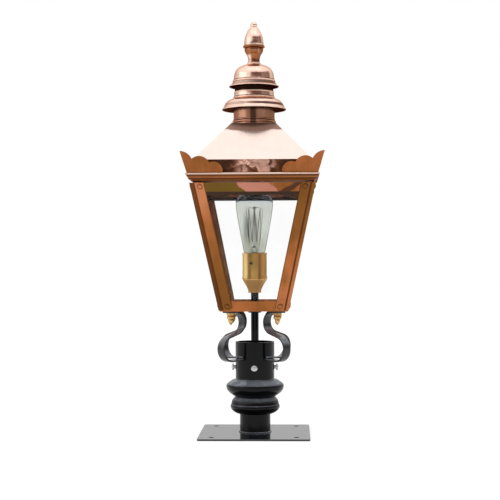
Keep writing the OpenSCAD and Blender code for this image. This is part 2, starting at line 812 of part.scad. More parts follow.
// squirrel-cage filament: upright wires between two rings, and two leads down beside the stem
module bulb_filament() {
    low = bulb_z + bulb_h * 0.222;
    high = bulb_z + bulb_h * 0.735;
    r0 = bulb_d * 0.14;
    r1 = bulb_d * 0.203;
    n = 8;
    color([0.5, 0.42, 0.3])
    difference() {
        union() {
            for (i = [0:n - 1]) {
                a = 360 / n * i;
                b = 360 / n * (i + 1);
                p = [r0 * cos(a), r0 * sin(a), low];
                q = [r1 * cos(a), r1 * sin(a), high];
                wire(p, q, filament_d / 2);
                if (i % 2 == 0) wire(q, [r1 * cos(b), r1 * sin(b), high], filament_d / 2);
                if (i % 2 == 1 && i < n - 1) wire(p, [r0 * cos(b), r0 * sin(b), low], filament_d / 2);
                if (i % 2 == 0) wire([0, 0, high], q, filament_d / 2);
            }
            for (a = [0, 315])
                wire([r0 * 0.55 * cos(a), r0 * 0.55 * sin(a), bulb_z + bulb_h * 0.06],
                    [r0 * cos(a), r0 * sin(a), low], filament_d / 2);
            for (a = [90, 180])
                wire([0, 0, low + bulb_h * 0.034], [r0 * cos(a), r0 * sin(a), low], filament_d / 2);
        }
        rotate_extrude() polygon(stem_line(fit));
        stem_ball(fit);
    }
}

// straight wire between two points
module wire(p, q, r) {
    v = q - p;
    u = v / norm(v);
    translate(p - r * u)
        rotate([0, acos(u[2]), atan2(v[1], v[0])]) cylinder(r = r, h = norm(v) + 2 * r, $fn = 8);
}

// brass earth screw with its washer and wire clamp on the tray
module earth_terminal() {
    color([0.74, 0.58, 0.3])
    translate([-30, 22, floor_z])
        difference() {
            union() {
                cylinder(r = 5, h = 1);
                cylinder(r = 3.6, h = 4.5);
                translate([-4, -3, 1]) cube([8, 6, 1]);
            }
            translate([-3, -0.5, 3.5]) cube([6, 1, 2]);
        }
}

// knuckle segments along a hinge's axis, at both hinges
module knuckles(outer, r) {
    third = hinge_w / 3;
    for (s = [-1, 1])
        translate([s * hinge_x, hinge_y, hinge_z])
            rotate([0, 90, 0])
                if (outer) {
                    for (k = [-1, 1])
                        translate([0, 0, k * third]) cylinder(r = r, h = third - 0.3, center = true);
                } else {
                    cylinder(r = r, h = third, center = true);
                }
}

// hinge leaves on the back top rail
module hinge_frame_leaves() {
    link_z = hinge_z - hinge_pin_d / 2 - run_fit - 1.85;
    color([0.7, 0.44, 0.28])
    difference() {
        union() {
            for (s = [-1, 1]) {
                intersection() {
                    body_ring(-0.3, 0.3 + sheet_t, roof_z - 13, link_z + 1.5);
                    translate([s * hinge_x - hinge_w / 2, 0, 0]) cube([hinge_w, reach, roof_z]);
                }
                translate([s * hinge_x - hinge_w / 2, half_at(link_z + 1.5) - sheet_t + 0.05, link_z])
                    cube([hinge_w, hinge_y - half_at(link_z + 1.5) + sheet_t - 0.05, 1.5]);
            }
            knuckles(true, knuckle_r);
        }
        for (s = [-1, 1])
            translate([s * hinge_x, hinge_y, hinge_z]) rotate([0, 90, 0]) {
                cylinder(d = hinge_pin_d + 2 * 0.03, h = hinge_w + 4, center = true);
                cylinder(r = knuckle_r + 0.3, h = hinge_w / 3 + 0.3, center = true);
                for (k = [-1, 1])
                    translate([0, 0, k * (hinge_w / 2 + 2 - 0.15)])
                        cylinder(r = knuckle_r + 0.3, h = 4, center = true);
            }
    }
}

// hinge pins, headed at both ends
module hinge_pins() {
    color([0.72, 0.56, 0.3])
    for (s = [-1, 1])
        translate([s * hinge_x, hinge_y, hinge_z]) rotate([0, 90, 0])
            union() {
                cylinder(d = hinge_pin_d, h = hinge_w + 0.6, center = true);
                for (k = [-1, 1])
                    translate([0, 0, k * (hinge_w / 2 + 0.6)])
                        cylinder(d = hinge_pin_d + 1.6, h = 1.4, center = true);
            }
}

// hinge leaves on the back of the cornice
module hinge_roof_leaves() {
    w = cornice_w / 2;
    color([0.7, 0.44, 0.28])
    difference() {
        union() {
            for (s = [-1, 1])
                translate([s * hinge_x - hinge_w / 2, w, hinge_z])
                    cube([hinge_w, 1.5, skirt_z - 1.5 - hinge_z]);
            knuckles(false, knuckle_r);
        }
        for (s = [-1, 1])
            translate([s * hinge_x, hinge_y, hinge_z]) rotate([0, 90, 0]) {
                cylinder(d = hinge_pin_d + 2 * run_fit, h = hinge_w + 4, center = true);
                for (k = [-1, 1])
                    translate([0, 0, k * (hinge_w / 3 + 1)])
                        cylinder(r = knuckle_r + 0.3, h = hinge_w / 3 + 2, center = true);
            }
    }
}

// folded cornice: lower moulding between the posts, cove, sloping face and nose
module cornice() {
    w = cornice_w / 2;
    z = roof_z;
    top = skirt_z - 1;
    seat = half_at(roof_z) - sheet_t;
    clear = post_leg - 5;
    color([0.72, 0.45, 0.3])
    difference() {
        union() {
            intersection() {
                block(seat, z, seat, z + 3.5);
                union() {
                    cube([2 * (half_at(roof_z) - clear), reach, 2 * reach], center = true);
                    cube([reach, 2 * (half_at(roof_z) - clear), 2 * reach], center = true);
                }
            }
            block(seat - 1.5, z + 3.4, seat - 1.5, z + 5.6);
            profiled([[w - 5.6, z + 5.5], [w - 1.8, top - 4], [w - 0.7, top - 3.3], [w, top - 2.4],
                [w, top - 1.4], [w - 0.7, top - 0.5], [w - 2, top]]);
            block(skirt_w / 2 + 0.6, top - 0.1, skirt_w / 2 + 0.6, skirt_z);
        }
        block(seat - 3, z - 1, seat - 3, z + 5.6 + roof_t);
        block(w - 7.2, z + 5.5 + roof_t, w - 3.4, top - roof_t);
        block(skirt_w / 2 - roof_t - 1, top - roof_t - 1, skirt_w / 2 - roof_t - 1, skirt_z + 1);
    }
}

// upright band between cornice and pyramid
module roof_skirt() {
    a = skirt_w / 2;
    color([0.6, 0.37, 0.26])
    difference() {
        block(a, skirt_z, a, pyramid_z);
        block(a - roof_t, skirt_z - 1, a - roof_t, pyramid_z + 1);
    }
}

// pyramid of copper sheet with a flat top that is open to the chimney
module roof_shell() {
    a = skirt_w / 2;
    b = pyramid_top_w / 2;
    k = (a - b) / pyramid_h;
    in = roof_t * sqrt(1 + k * k);
    color([0.85, 0.6, 0.45])
    difference() {
        block(a, pyramid_z, b, top_z);
        block(a - in + k, pyramid_z - 1, b - in + k * roof_t, top_z - roof_t);
        translate([0, 0, pyramid_z]) cylinder(r = neck_r - 7, h = pyramid_h + 1);
    }
}

// scalloped outline of one leg of a crown corner, with the corner at the right
module crown_outline() {
    x1 = crown_base + crown_lean;
    x0 = crown_base - crown_leg;
    s = (x1 - x0) / 68.8;
    h = crown_h / 34.4;
    intersection() {
        translate([x0, crown_z]) square([x1 - x0 + 5, crown_h]);
        union() {
            translate([x1, crown_z + crown_h - 21.3 * s]) circle(r = 21.3 * s);
            translate([x0 + 37.8 * s, crown_z + 26.4 * h - 18 * s]) circle(r = 18 * s);
            translate([x0 + 14.9 * s, crown_z + 17.4 * h - 15 * s]) circle(r = 15 * s);
            translate([x0 + 8 * s, crown_z]) square([60 * s + 10, 13 * h]);
            translate([x0 + 28 * s, crown_z]) square([40 * s + 10, 18 * h]);
        }
    }
}

// one leg of a crown corner, leaning out from the front of the cornice
module crown_leg_sheet() {
    z1 = crown_z + crown_h;
    b = crown_base;
    c = crown_base + crown_lean;
    intersection() {
        rotate([90, 0, 90])
            linear_extrude(height = reach, center = true)
                polygon([[-b, crown_z], [crown_t - b, crown_z], [crown_t - c, z1], [-c, z1]]);
        rotate([90, 0, 0]) linear_extrude(height = reach) crown_outline();
        block(b, crown_z, c, z1);
    }
}

// one crown corner at the front right: two legs joined along the corner
module crown() {
    color([0.66, 0.41, 0.25])
    union() {
        crown_leg_sheet();
        rotate([0, 0, 90]) mirror([1, 0, 0]) crown_leg_sheet();
    }
}

module crown_front_right() { crown(); }

module crown_back_right() { rotate([0, 0, 90]) crown(); }

module crown_back_left() { rotate([0, 0, 180]) crown(); }

module crown_front_left() { rotate([0, 0, 270]) crown(); }

// neck of the chimney: foot, ring, bead and tube, narrowed to enter the lower cowl
module chimney_neck() {
    r = neck_r;
    color([0.55, 0.34, 0.22])
    turned(concat([[r - 4, top_z], [r + 0.7, top_z], [r + 0.7, top_z + 2.5]],
        arc(r - 0.5, top_z + 5, 2.5, -80, 80, 6), [[r, top_z + 7.6]],
        arc(r - 0.5, top_z + 8.8, 1.1, -70, 70, 4), [[r, top_z + 10], [r, top_z + 27], [r - 2.2, top_z + 28],
        [r - 2.2, cowl_z], [r - 4, cowl_z]]), r - 3.4, top_z, cowl_z);
}

// bell-shaped lower cowl of thin sheet
module lower_cowl() {
    r = lower_cowl_r;
    z = band_z;
    h = lower_cowl_h;
    k = (r - band_r) / 21;
    line = [[band_r + 1.6, 0], [band_r + 6.4 * k, -1.2], [band_r + 11.6 * k, -4.2 * h / 18],
        [band_r + 15 * k, -7.8 * h / 18], [band_r + 17 * k, -11.6 * h / 18],
        [band_r + 18.4 * k, -15 * h / 18], [r, -h]];
    color([0.8, 0.52, 0.38])
    rotate_extrude()
        polygon(concat([[neck_r - 8, z]], [for (p = line) [p[0], z + p[1]]],
            [[r - 0.6, z - h - 1], [r - 1.6, z - h - 0.6]],
            [for (i = [len(line) - 2:-1:1]) [line[i][0] - roof_t, z + line[i][1] - roof_t]],
            [[band_r, z - roof_t], [neck_r - 8, z - roof_t]]));
}

// band between the cowls, wider towards its foot, with a bead at each end
module chimney_band() {
    r = band_r;
    h = band_h;
    color([0.75, 0.48, 0.34])
    turned(concat([[r - 4, band_z], [r + 1.4, band_z]], arc(r + 0.6, band_z + 1.6, 1.5, -70, 70, 4),
        [[r + 1, band_z + 3.6], [r - 0.2, band_z + h - 3.4]], arc(r - 0.8, band_z + h - 1.6, 1.5, -70, 70, 4),
        [[r - 0.2, band_z + h], [r - 4, band_z + h]]), r - 2, band_z, hood_z);
}

// upper cowl: flared rim, bead step, upright wall and dome, closed round the rod
module upper_cowl() {
    r = upper_cowl_r;
    z = hood_z;
    top = hood_z + upper_cowl_h + roof_t + 4;
    s = r - 42.2;
    line = [[r, z + 4], [r - 1.2, z + 5.4], [r - 3.2, z + 7.8], [r - 5, z + 11.2], [r - 6.6, z + 14],
        [r - 6.2, z + 15.4], [r - 7, z + 16.8], [r - 7.6, z + 19.4], [r - 8.2, z + 23], [r - 8.8, z + 26.6],
        [r - 10, z + 30.4], [r - 11.6, z + 33.4], [r - 14.4, z + 36.6], [r - 18, z + 39.2],
        [r - 22.4, z + 41.4], [r - 26.6, z + 42.7], [r - 30, z + upper_cowl_h + 5.1]];
    color([0.82, 0.55, 0.4])
    difference() {
        rotate_extrude()
            polygon(concat(line, [[0, top]], [[0, top - roof_t - 1.4]],
                [for (i = [len(line) - 1:-1:0]) [max(1, line[i][0] - roof_t), line[i][1] - roof_t * 0.7]]));
        translate([0, 0, z]) cylinder(d = rod_d + 2 * fit, h = upper_cowl_h + 20);
    }
    color([0.82, 0.55, 0.4])
    difference() {
        union() {
            tube(band_r - 0.6, 2, z, z + 15);
            for (i = [0:3])
                rotate([0, 0, 45 + 90 * i])
                    translate([band_r - 2.4, -3, z + 13.4]) cube([r - 7.2 - band_r + 2.4, 6, 1.2]);
        }
    }
}

// turned cup of the finial: foot ring, neck, bulge and rim
module finial_cup() {
    r = cup_r;
    z = cup_z;
    k = cup_h / 32.5;
    color([0.75, 0.48, 0.34])
    turned([[0, z], [11, z], [11.6, z + 1 * k], [11.4, z + 2.2 * k], [10.4, z + 3.4 * k], [9.8, z + 6 * k],
        [9.9, z + 10 * k], [10.8, z + 14 * k], [12.4, z + 17.5 * k], [14.6, z + 20.5 * k], [15.8, z + 23.6 * k],
        [15.9, z + 26.4 * k], [15.6, z + 28 * k], [r - 0.9, z + 28.8 * k], [r, z + 29.8 * k], [r, z + 31.2 * k],
        [r - 0.7, z + cup_h], [0, z + cup_h]], rod_d / 2 + fit, z, z + cup_h);
}

// spire of the finial with its tip bead, screwed on the rod
module finial_spire() {
    z = spire_z;
    k = spire_h / 40;
    s = cup_r / 18.4;
    color([0.78, 0.5, 0.36])
    difference() {
        rotate_extrude()
            polygon([[0, z], [16.6 * s, z], [16.6 * s, z + 4 * k], [16.2 * s, z + 7.4 * k],
                [15.6 * s, z + 11 * k], [15 * s, z + 14.4 * k], [13.8 * s, z + 17.8 * k],
                [12.4 * s, z + 21.2 * k], [10.8 * s, z + 24.6 * k], [8.8 * s, z + 28 * k],
                [6.6 * s, z + 30.6 * k], [5 * s, z + 31.8 * k], [5 * s, z + 32.6 * k], [5.6 * s, z + 34.6 * k],
                [5.5 * s, z + 36.4 * k], [4.3 * s, z + 38.6 * k], [2.4 * s, z + 39.7 * k], [0, z + 40 * k]]);
        translate([0, 0, z - 1]) cylinder(d = rod_d + 2 * fit, h = 17);
    }
}

// threaded rod that pulls the finial, cowls and neck down on the roof
module tie_rod() {
    color([0.6, 0.6, 0.62])
    translate([0, 0, top_z - 14]) cylinder(d = rod_d, h = spire_z + 15.5 - top_z + 14);
}

// flat bar under the roof's flat top
module rod_bridge() {
    color([0.6, 0.6, 0.6])
    difference() {
        translate([-neck_r + 2.4, -8, top_z - roof_t - 3]) cube([2 * neck_r - 4.8, 16, 3]);
        translate([0, 0, top_z - 20]) cylinder(d = rod_d + 2 * fit, h = 30);
    }
}

// nut under the bridge and nut under the upper cowl
module rod_nuts() {
    color([0.66, 0.66, 0.68])
    for (z = [top_z - roof_t - 8, cup_z - roof_t - 1.4 - 5])
        difference() {
            translate([0, 0, z]) cylinder(d = 11.5, h = 5, $fn = 6);
            translate([0, 0, z - 1]) cylinder(d = rod_d + 2 * fit, h = 7);
        }
}

base_plate();
pedestal_tube();
lower_ring_mould();
upper_ring_mould();
spigot_sleeve();
bracket_collar();
collar_screws();
scroll_arm_front_left();
scroll_arm_front_right();
scroll_arm_back_right();
scroll_arm_back_left();
frame_bolts();
acorn_nuts();
stem_tube();
stem_locknuts();
floor_tray();
bottom_frame();
top_frame();
corner_post_front_left();
corner_post_front_right();
corner_post_back_right();
corner_post_back_left();
glass_front();
glass_right();
glass_back();
glass_left();
glazing_clips();
frame_rivets();
lampholder_cap();
lampholder_shell();
lampholder_core();
lampholder_contacts();
lampholder_screw();
bulb_glass();
bulb_cap();
bulb_contact();
bulb_stem();
bulb_filament();
earth_terminal();
hinge_frame_leaves();
hinge_pins();
cornice();
roof_skirt();
roof_shell();
crown_front_left();
crown_front_right();
crown_back_right();
crown_back_left();
chimney_neck();
lower_cowl();
chimney_band();
upper_cowl();
finial_cup();
finial_spire();
tie_rod();
rod_nuts();
rod_bridge();
hinge_roof_leaves();
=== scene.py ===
"""Pillar lantern: smooth turned parts, bent arms, bulb and finishes, around the lantern's fixed frame."""

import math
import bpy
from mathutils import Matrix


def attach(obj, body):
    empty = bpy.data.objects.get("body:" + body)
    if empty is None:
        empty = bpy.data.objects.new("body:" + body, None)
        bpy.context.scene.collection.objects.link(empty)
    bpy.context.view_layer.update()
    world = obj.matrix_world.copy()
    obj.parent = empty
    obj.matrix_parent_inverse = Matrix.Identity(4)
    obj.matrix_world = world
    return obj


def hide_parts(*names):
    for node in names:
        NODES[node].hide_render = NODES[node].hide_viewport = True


bl_info = {
    "name": "Pillar Lantern",
    "version": (1, 0, 0),
    "blender": (4, 5, 0),
    "location": "3D View > Sidebar > Lantern",
    "description": "Turned copper, scroll arms, bulb, glass and finishes of a pillar lantern",
    "category": "Object",
}

import bmesh
import bpy
import numpy as np
from bpy.props import FloatProperty, FloatVectorProperty, IntProperty, PointerProperty
from bpy.types import Operator, Panel, PropertyGroup
from mathutils import Matrix, Vector

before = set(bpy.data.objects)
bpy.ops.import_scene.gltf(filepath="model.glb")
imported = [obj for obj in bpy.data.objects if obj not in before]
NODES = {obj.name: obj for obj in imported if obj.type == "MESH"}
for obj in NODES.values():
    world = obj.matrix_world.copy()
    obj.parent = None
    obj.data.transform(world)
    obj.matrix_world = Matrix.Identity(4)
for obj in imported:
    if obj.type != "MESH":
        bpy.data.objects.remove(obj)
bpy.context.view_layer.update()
MM = 0.001

# Heights in millimetres at which the lantern's main parts begin.
BODY = 209.0
HOLDER = 239.0
BULB = 297.0
CHIMNEY = 524.0
COWL = 568.5
HOOD = 583.5
CUP = 626.7
SPIRE = 659.2

# The glazed body in millimetres: half its width at the foot, what that gains per millimetre up, the heights
# of the rivets, and how far they are from the posts' outer edges.
HALF_WIDTH = 57.8
TAPER = 0.2128
RIVET_ROWS = (217.5, 414.0)
RIVET_INSET = 16.0

# Directions of the four corners in degrees, seen from above.
CORNERS = {"back_right": 45, "back_left": 135, "front_left": 225, "front_right": 315}


# The lantern's settings

# What every colour setting has in common.
TINT = {"size": 3, "min": 0, "max": 1}


class LanternFinish(PropertyGroup):
    """Colours of the lantern's metals, paint and glass."""

    copper: FloatVectorProperty(
        name="Copper", description="Colour of the aged copper sheet", subtype="COLOR", **TINT,
        default=(0.37, 0.118, 0.036))
    copper_dark: FloatVectorProperty(
        name="Patina", description="Colour of the brown patina on the copper", subtype="COLOR", **TINT,
        default=(0.20, 0.078, 0.015))
    copper_bright: FloatVectorProperty(
        name="Bright copper", description="Colour of the rubbed, brighter copper", subtype="COLOR", **TINT,
        default=(0.56, 0.21, 0.105))
    brass: FloatVectorProperty(
        name="Brass", description="Colour of the lacquered brass", subtype="COLOR", **TINT,
        default=(0.56, 0.32, 0.082))
    paint: FloatVectorProperty(
        name="Paint", description="Colour of the black gloss paint", subtype="COLOR", **TINT,
        default=(0.0035, 0.0036, 0.0040))
    spun: FloatVectorProperty(
        name="Polished copper", description="Colour of the spun cowls and finial", subtype="COLOR", **TINT,
        default=(0.95, 0.67, 0.55))
    # A paler copy of the copper than the cowls', so that the lit roof shows as a near-white painted
    # highlight.
    roof: FloatVectorProperty(
        name="Roof copper", description="Colour of the bright pyramid roof", subtype="COLOR", **TINT,
        default=(0.95, 0.75, 0.675))
    steel: FloatVectorProperty(
        name="Zinc", description="Colour of the zinc-plated screws", subtype="COLOR", **TINT,
        default=(0.62, 0.62, 0.64))
    roughness: FloatProperty(
        name="Copper roughness", description="Roughness of the copper sheet", subtype="FACTOR",
        min=0.05, max=0.8, default=0.24)


class LanternShape(PropertyGroup):
    """Sizes of the finished surfaces."""

    turns: IntProperty(
        name="Facets round", description="Facets round each turned part", min=48, max=256, default=144)
    arm_edge: FloatProperty(
        name="Arm edge", description="Radius of the flat bar's edges", subtype="DISTANCE", unit="LENGTH",
        min=0.0002, max=0.0014, default=0.0009)
    wire: FloatProperty(
        name="Filament wire", description="Radius of the filament wire", subtype="DISTANCE", unit="LENGTH",
        min=0.0001, max=0.0006, default=0.00026)


class LanternStage(PropertyGroup):
    """Camera and lamps."""

    distance: FloatProperty(
        name="Camera distance", description="Distance of the camera from the lantern's axis",
        subtype="DISTANCE", unit="LENGTH", min=1, max=5, default=2.1)
    lens: FloatProperty(name="Lens", description="Focal length in millimetres", min=30, max=200, default=88.9)
    turn: FloatProperty(
        name="Turn", description="Angle by which the camera stands to the lantern's right",
        subtype="ANGLE", unit="ROTATION", default=math.radians(2.0))
    overhead: FloatProperty(
        name="Overhead lamp", description="Power of the softbox above, in watts", min=0, max=400, default=7.2)
    side: FloatProperty(
        name="Left lamp", description="Power of the left softbox, in watts; the right one has a quarter",
        min=0, max=200, default=5)


# The lantern's meshes


def spline(points, per=7):
    """Catmull-Rom curve through the points: each span is the cubic whose end slopes join its neighbours."""
    p = np.asarray(points, float)
    a = np.vstack([2 * p[0] - p[1], p, 2 * p[-1] - p[-2]])
    t = np.linspace(0, 1, per, endpoint=False)[None, :, None]
    p0, p1, p2, p3 = a[:-3, None], a[1:-2, None], a[2:-1, None], a[3:, None]
    q = 0.5 * (2 * p1 + (p2 - p0) * t + (2 * p0 - 5 * p1 + 4 * p2 - p3) * t**2
               + (3 * p1 - p0 - 3 * p2 + p3) * t**3)
    return np.vstack([q.reshape(-1, p.shape[1]), p[-1:]])


def outline(base, *strokes):
    """Profile in metres from strokes of radius, height above base, radius, height and so on in millimetres:
    three or more points are a smooth stroke, two a straight one, and one ends a line from the last."""
    raised = [np.reshape(s, (-1, 2)) + (0.0, base) for s in strokes]
    pts = np.vstack([spline(s) if len(s) > 2 else s for s in raised])
    keep = np.r_[True, np.linalg.norm(np.diff(pts, axis=0), axis=1) > 1e-4]
    return pts[keep] * MM


def arc(cx, cy, r, start, end, n=10):
    """Points cx + r cos t, cy + r sin t for t between two angles in degrees."""
    t = np.radians(np.linspace(start, end, n))
    return np.stack([cx + r * np.cos(t), cy + r * np.sin(t)], 1)


def lattice(name, grids, sharp=32.0):
    """Closed mesh from grids of points (rows, columns, 3) whose columns wrap round: cell i, j is one quad."""
    verts, faces, base = [], [], 0
    for g in grids:
        n, m = g.shape[:2]
        i, j = np.meshgrid(np.arange(n - 1), np.arange(m), indexing="ij")
        k = (j + 1) % m
        quads = np.stack([i * m + j, i * m + k, (i + 1) * m + k, (i + 1) * m + j], -1).reshape(-1, 4) + base
        verts.append(g.reshape(-1, 3))
        faces.append(quads)
        base += n * m
    me = bpy.data.meshes.new(name)
    me.from_pydata(np.vstack(verts).tolist(), [], np.vstack(faces).tolist())
    bm = bmesh.new()
    bm.from_mesh(me)
    bmesh.ops.remove_doubles(bm, verts=bm.verts, dist=1e-6)
    bmesh.ops.recalc_face_normals(bm, faces=bm.faces)
    bm.to_mesh(me)
    bm.free()
    me.polygons.foreach_set("use_smooth", np.ones(len(me.polygons), bool))
    me.set_sharp_from_angle(angle=math.radians(sharp))
    ob = bpy.data.objects.new(name, me)
    bpy.context.scene.collection.objects.link(ob)
    return ob


def revolve(line, turns, centre=(0.0, 0.0)):
    """Grid of a turned surface: (r cos a, r sin a, z) for each r, z of the profile and each angle a."""
    a = np.linspace(0, 2 * np.pi, turns, endpoint=False)
    r, z = line[:, :1], line[:, 1:]
    return np.stack([centre[0] + r * np.cos(a), centre[1] + r * np.sin(a),
                     np.broadcast_to(z, (len(line), turns))], -1)


def turned(name, line, centres=((0.0, 0.0),), turns=None):
    """Turned piece, or several alike at given centres; a profile that leaves the axis is closed on itself."""
    if line[0, 0] > 1e-6 or line[-1, 0] > 1e-6:
        line = np.vstack([line, line[:1]])
    return lattice(name, [revolve(line, turns or shape().turns, c) for c in centres])


def bar_section(width, thick, edge, n=5):
    """Rounded rectangle as (across, through) pairs: four quarter circles of the edge radius."""
    w, t = width / 2 - edge, thick / 2 - edge
    corners = ((1, 1, 0), (-1, 1, 90), (-1, -1, 180), (1, -1, 270))
    return np.vstack([arc(sx * w, sy * t, edge, s, s + 90, n) for sx, sy, s in corners])


def along(path):
    """Unit tangents of a path."""
    d = np.gradient(path, axis=0)
    return d / np.linalg.norm(d, axis=1)[:, None]


def carried(path, across, through, section):
    """Grid of a bar or wire: point + first number x across + second number x through, both ends closed."""
    g = path[:, None] + section[None, :, :1] * across + section[None, :, 1:] * through
    ends = [np.repeat(path[k][None, None], len(section), 1) for k in (0, -1)]
    return np.concatenate([ends[0], g, ends[1]])


def swept(path, across, section):
    """Grid of a bar whose section keeps one side direction; the other is side x tangent."""
    side = np.asarray(across, float)
    return carried(path, side, np.cross(side, along(path))[:, None], section)


def wires(name, paths, radius, n=8):
    """Thin round wires: a circle carried along each path, in the frame of its tangent and a fixed slant."""
    ring = arc(0, 0, radius, 0, 360, n + 1)[:-1]
    grids = []
    for p in paths:
        d = along(p)
        u = np.cross(d, np.array([0.31, 0.22, 0.92]))
        u /= np.linalg.norm(u, axis=1)[:, None]
        grids.append(carried(p, u[:, None], np.cross(d, u)[:, None], ring))
    return lattice(name, grids, 60)


def darken_inside(ob, finish):
    """Second finish on faces that look at the axis or down: normal . radius < -0.1, or normal z < -0.7; here
    dark patina with painted shade.
    """
    me = ob.data
    n, c = np.empty(len(me.polygons) * 3), np.empty(len(me.polygons) * 3)
    me.polygons.foreach_get("normal", n)
    me.polygons.foreach_get("center", c)
    n, c = n.reshape(-1, 3), c.reshape(-1, 3)
    radial = (n[:, :2] * c[:, :2]).sum(1) / np.maximum(np.linalg.norm(c[:, :2], axis=1), 1e-6)
    me.materials.append(materials()[finish])
    me.polygons.foreach_set("material_index", ((radial < -0.1) | (n[:, 2] < -0.7)).astype(np.int32))
    me.update()


def dress(ob, finish, body, slot_name, *nodes):
    """Gives a piece its finish and its body, and hides the nodes it stands for; slot_name is not used."""
    ob.data.materials.append(materials()[finish])
    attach(ob, body)
    if nodes:
        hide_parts(*nodes)
    return ob


def shape():
    """The settings of sizes."""
    return bpy.context.scene.lantern_shape


# The lantern's materials


def link(out, to, into):
    """Joins an output socket to an input of a node."""
    to.id_data.links.new(out, to.inputs[into])


def node(home, kind, **values):
    """New shader node in a material, a world or a node tree; a value named like one of the node's properties
    sets that, any other sets an input."""
    n = getattr(home, "node_tree", home).nodes.new(kind)
    for key, v in values.items():
        if hasattr(n, key):
            setattr(n, key, v)
        else:
            n.inputs[key.replace("_", " ")].default_value = v
    return n


def place(home, coords="Object"):
    """Coordinates split into x, y and z."""
    sep = node(home, "ShaderNodeSeparateXYZ")
    link(node(home, "ShaderNodeTexCoord").outputs[coords], sep, "Vector")
    return [sep.outputs[k] for k in "XYZ"]


def noise(home, scale, detail, rough, stretch=(1, 1, 1), coords="Object", **more):
    """Noise on Object coordinates, or on a world's Generated ones, stretched where asked."""
    mapping = node(home, "ShaderNodeMapping", Scale=stretch)
    link(node(home, "ShaderNodeTexCoord").outputs[coords], mapping, "Vector")
    n = node(home, "ShaderNodeTexNoise", Scale=scale, Detail=detail, Roughness=rough, **more)
    link(mapping.outputs["Vector"], n, "Vector")
    return n.outputs["Fac"]


def span(value, low, high, to_low=0.0, to_high=1.0):
    """Smooth step of a value between low and high."""
    m = node(value.id_data, "ShaderNodeMapRange", interpolation_type="SMOOTHSTEP", From_Min=low,
             From_Max=high, To_Min=to_low, To_Max=to_high)
    link(value, m, "Value")
    return m.outputs["Result"]


def feed(n, k, value):
    """Gives input k of a node a socket, a number or a colour."""
    if isinstance(value, bpy.types.NodeSocket):
        link(value, n, k)
    else:
        n.inputs[k].default_value = (*value[:3], 1) if isinstance(value, tuple) else value


def calc(operation, *terms):
    """Math node on its terms, each a number or a socket."""
    tree = next(v.id_data for v in terms if isinstance(v, bpy.types.NodeSocket))
    m = node(tree, "ShaderNodeMath", operation=operation)
    for k, v in enumerate(terms):
        feed(m, k, v)
    return m.outputs["Value"]


def times(a, b, c=None):
    """Product of two terms, plus a third."""
    return calc("MULTIPLY", a, b) if c is None else calc("MULTIPLY_ADD", a, b, c)


def between(value, low, high, soft):
    """Mask that is 1 between two values and falls to 0 over a soft edge outside them."""
    return times(span(value, low - soft, low), span(value, high, high + soft, 1.0, 0.0))


def blend_colour(factor, a, b):
    """Colour between a and b by a factor; a and b are colours or sockets."""
    m = node(factor.id_data, "ShaderNodeMix", data_type="RGBA")
    for k, v in ((0, factor), (6, a), (7, b)):
        feed(m, k, v)
    return m.outputs[2]


def tone(colour, k):
    """Colour multiplied by k, kept under 1."""
    return tuple(min(1.0, c * k) for c in colour)


def group(name, colours, values, outputs):
    """Empty shader node group with inputs for colours and for values, and outputs."""
    g = bpy.data.node_groups.new(name, "ShaderNodeTree")
    for way, names in (("INPUT", (*colours, *values)), ("OUTPUT", outputs)):
        for n in names:
            kind = "NodeSocketColor" if n in (*colours, "Color") else "NodeSocketFloat"
            g.interface.new_socket(name=n, in_out=way, socket_type=kind)
    return g, g.nodes.new("NodeGroupInput").outputs, g.nodes.new("NodeGroupOutput")


def sheet_metal(name):
    """Aged sheet metal: clouds of patina, fine upright rubbing marks and small specks."""
    g, given, out = group(name, ("Clean", "Patina", "Bright"), ("Patina Amount", "Roughness"),
                          ("Color", "Roughness", "Height"))
    clouds = noise(g, 16, 4, 0.55)
    streaks = noise(g, 55, 3, 0.6, (1, 1, 0.10))
    specks = noise(g, 520, 2, 0.5)
    fine = noise(g, 1500, 2, 0.6, (1, 1, 0.06))
    amount = times(span(times(streaks, 0.55, clouds), 0.62, 0.98), given["Patina Amount"])
    colour = blend_colour(amount, given["Clean"], given["Patina"])
    colour = blend_colour(span(streaks, 0.56, 0.74, 0.0, 0.45), colour, given["Bright"])
    colour = blend_colour(span(specks, 0.60, 0.74, 0.0, 0.35), colour, given["Patina"])
    link(colour, out, "Color")
    rough = times(amount, 0.22, given["Roughness"])
    link(times(fine, 0.10, rough), out, "Roughness")
    link(times(fine, 0.25, clouds), out, "Height")
    return g


def brushed_coat(name):
    """Paint or glaze: soft unevenness of the coat and thin wear."""
    g, given, out = group(name, ("Colour", "Dust"), ("Roughness",), ("Color", "Roughness", "Height"))
    waves = noise(g, 70, 2, 0.5)
    dust = span(waves, 0.52, 0.78, 0.0, 0.6)
    link(blend_colour(dust, given["Colour"], given["Dust"]), out, "Color")
    link(times(dust, 0.12, given["Roughness"]), out, "Roughness")
    link(times(noise(g, 420, 2, 0.5), 0.30, waves), out, "Height")
    return g


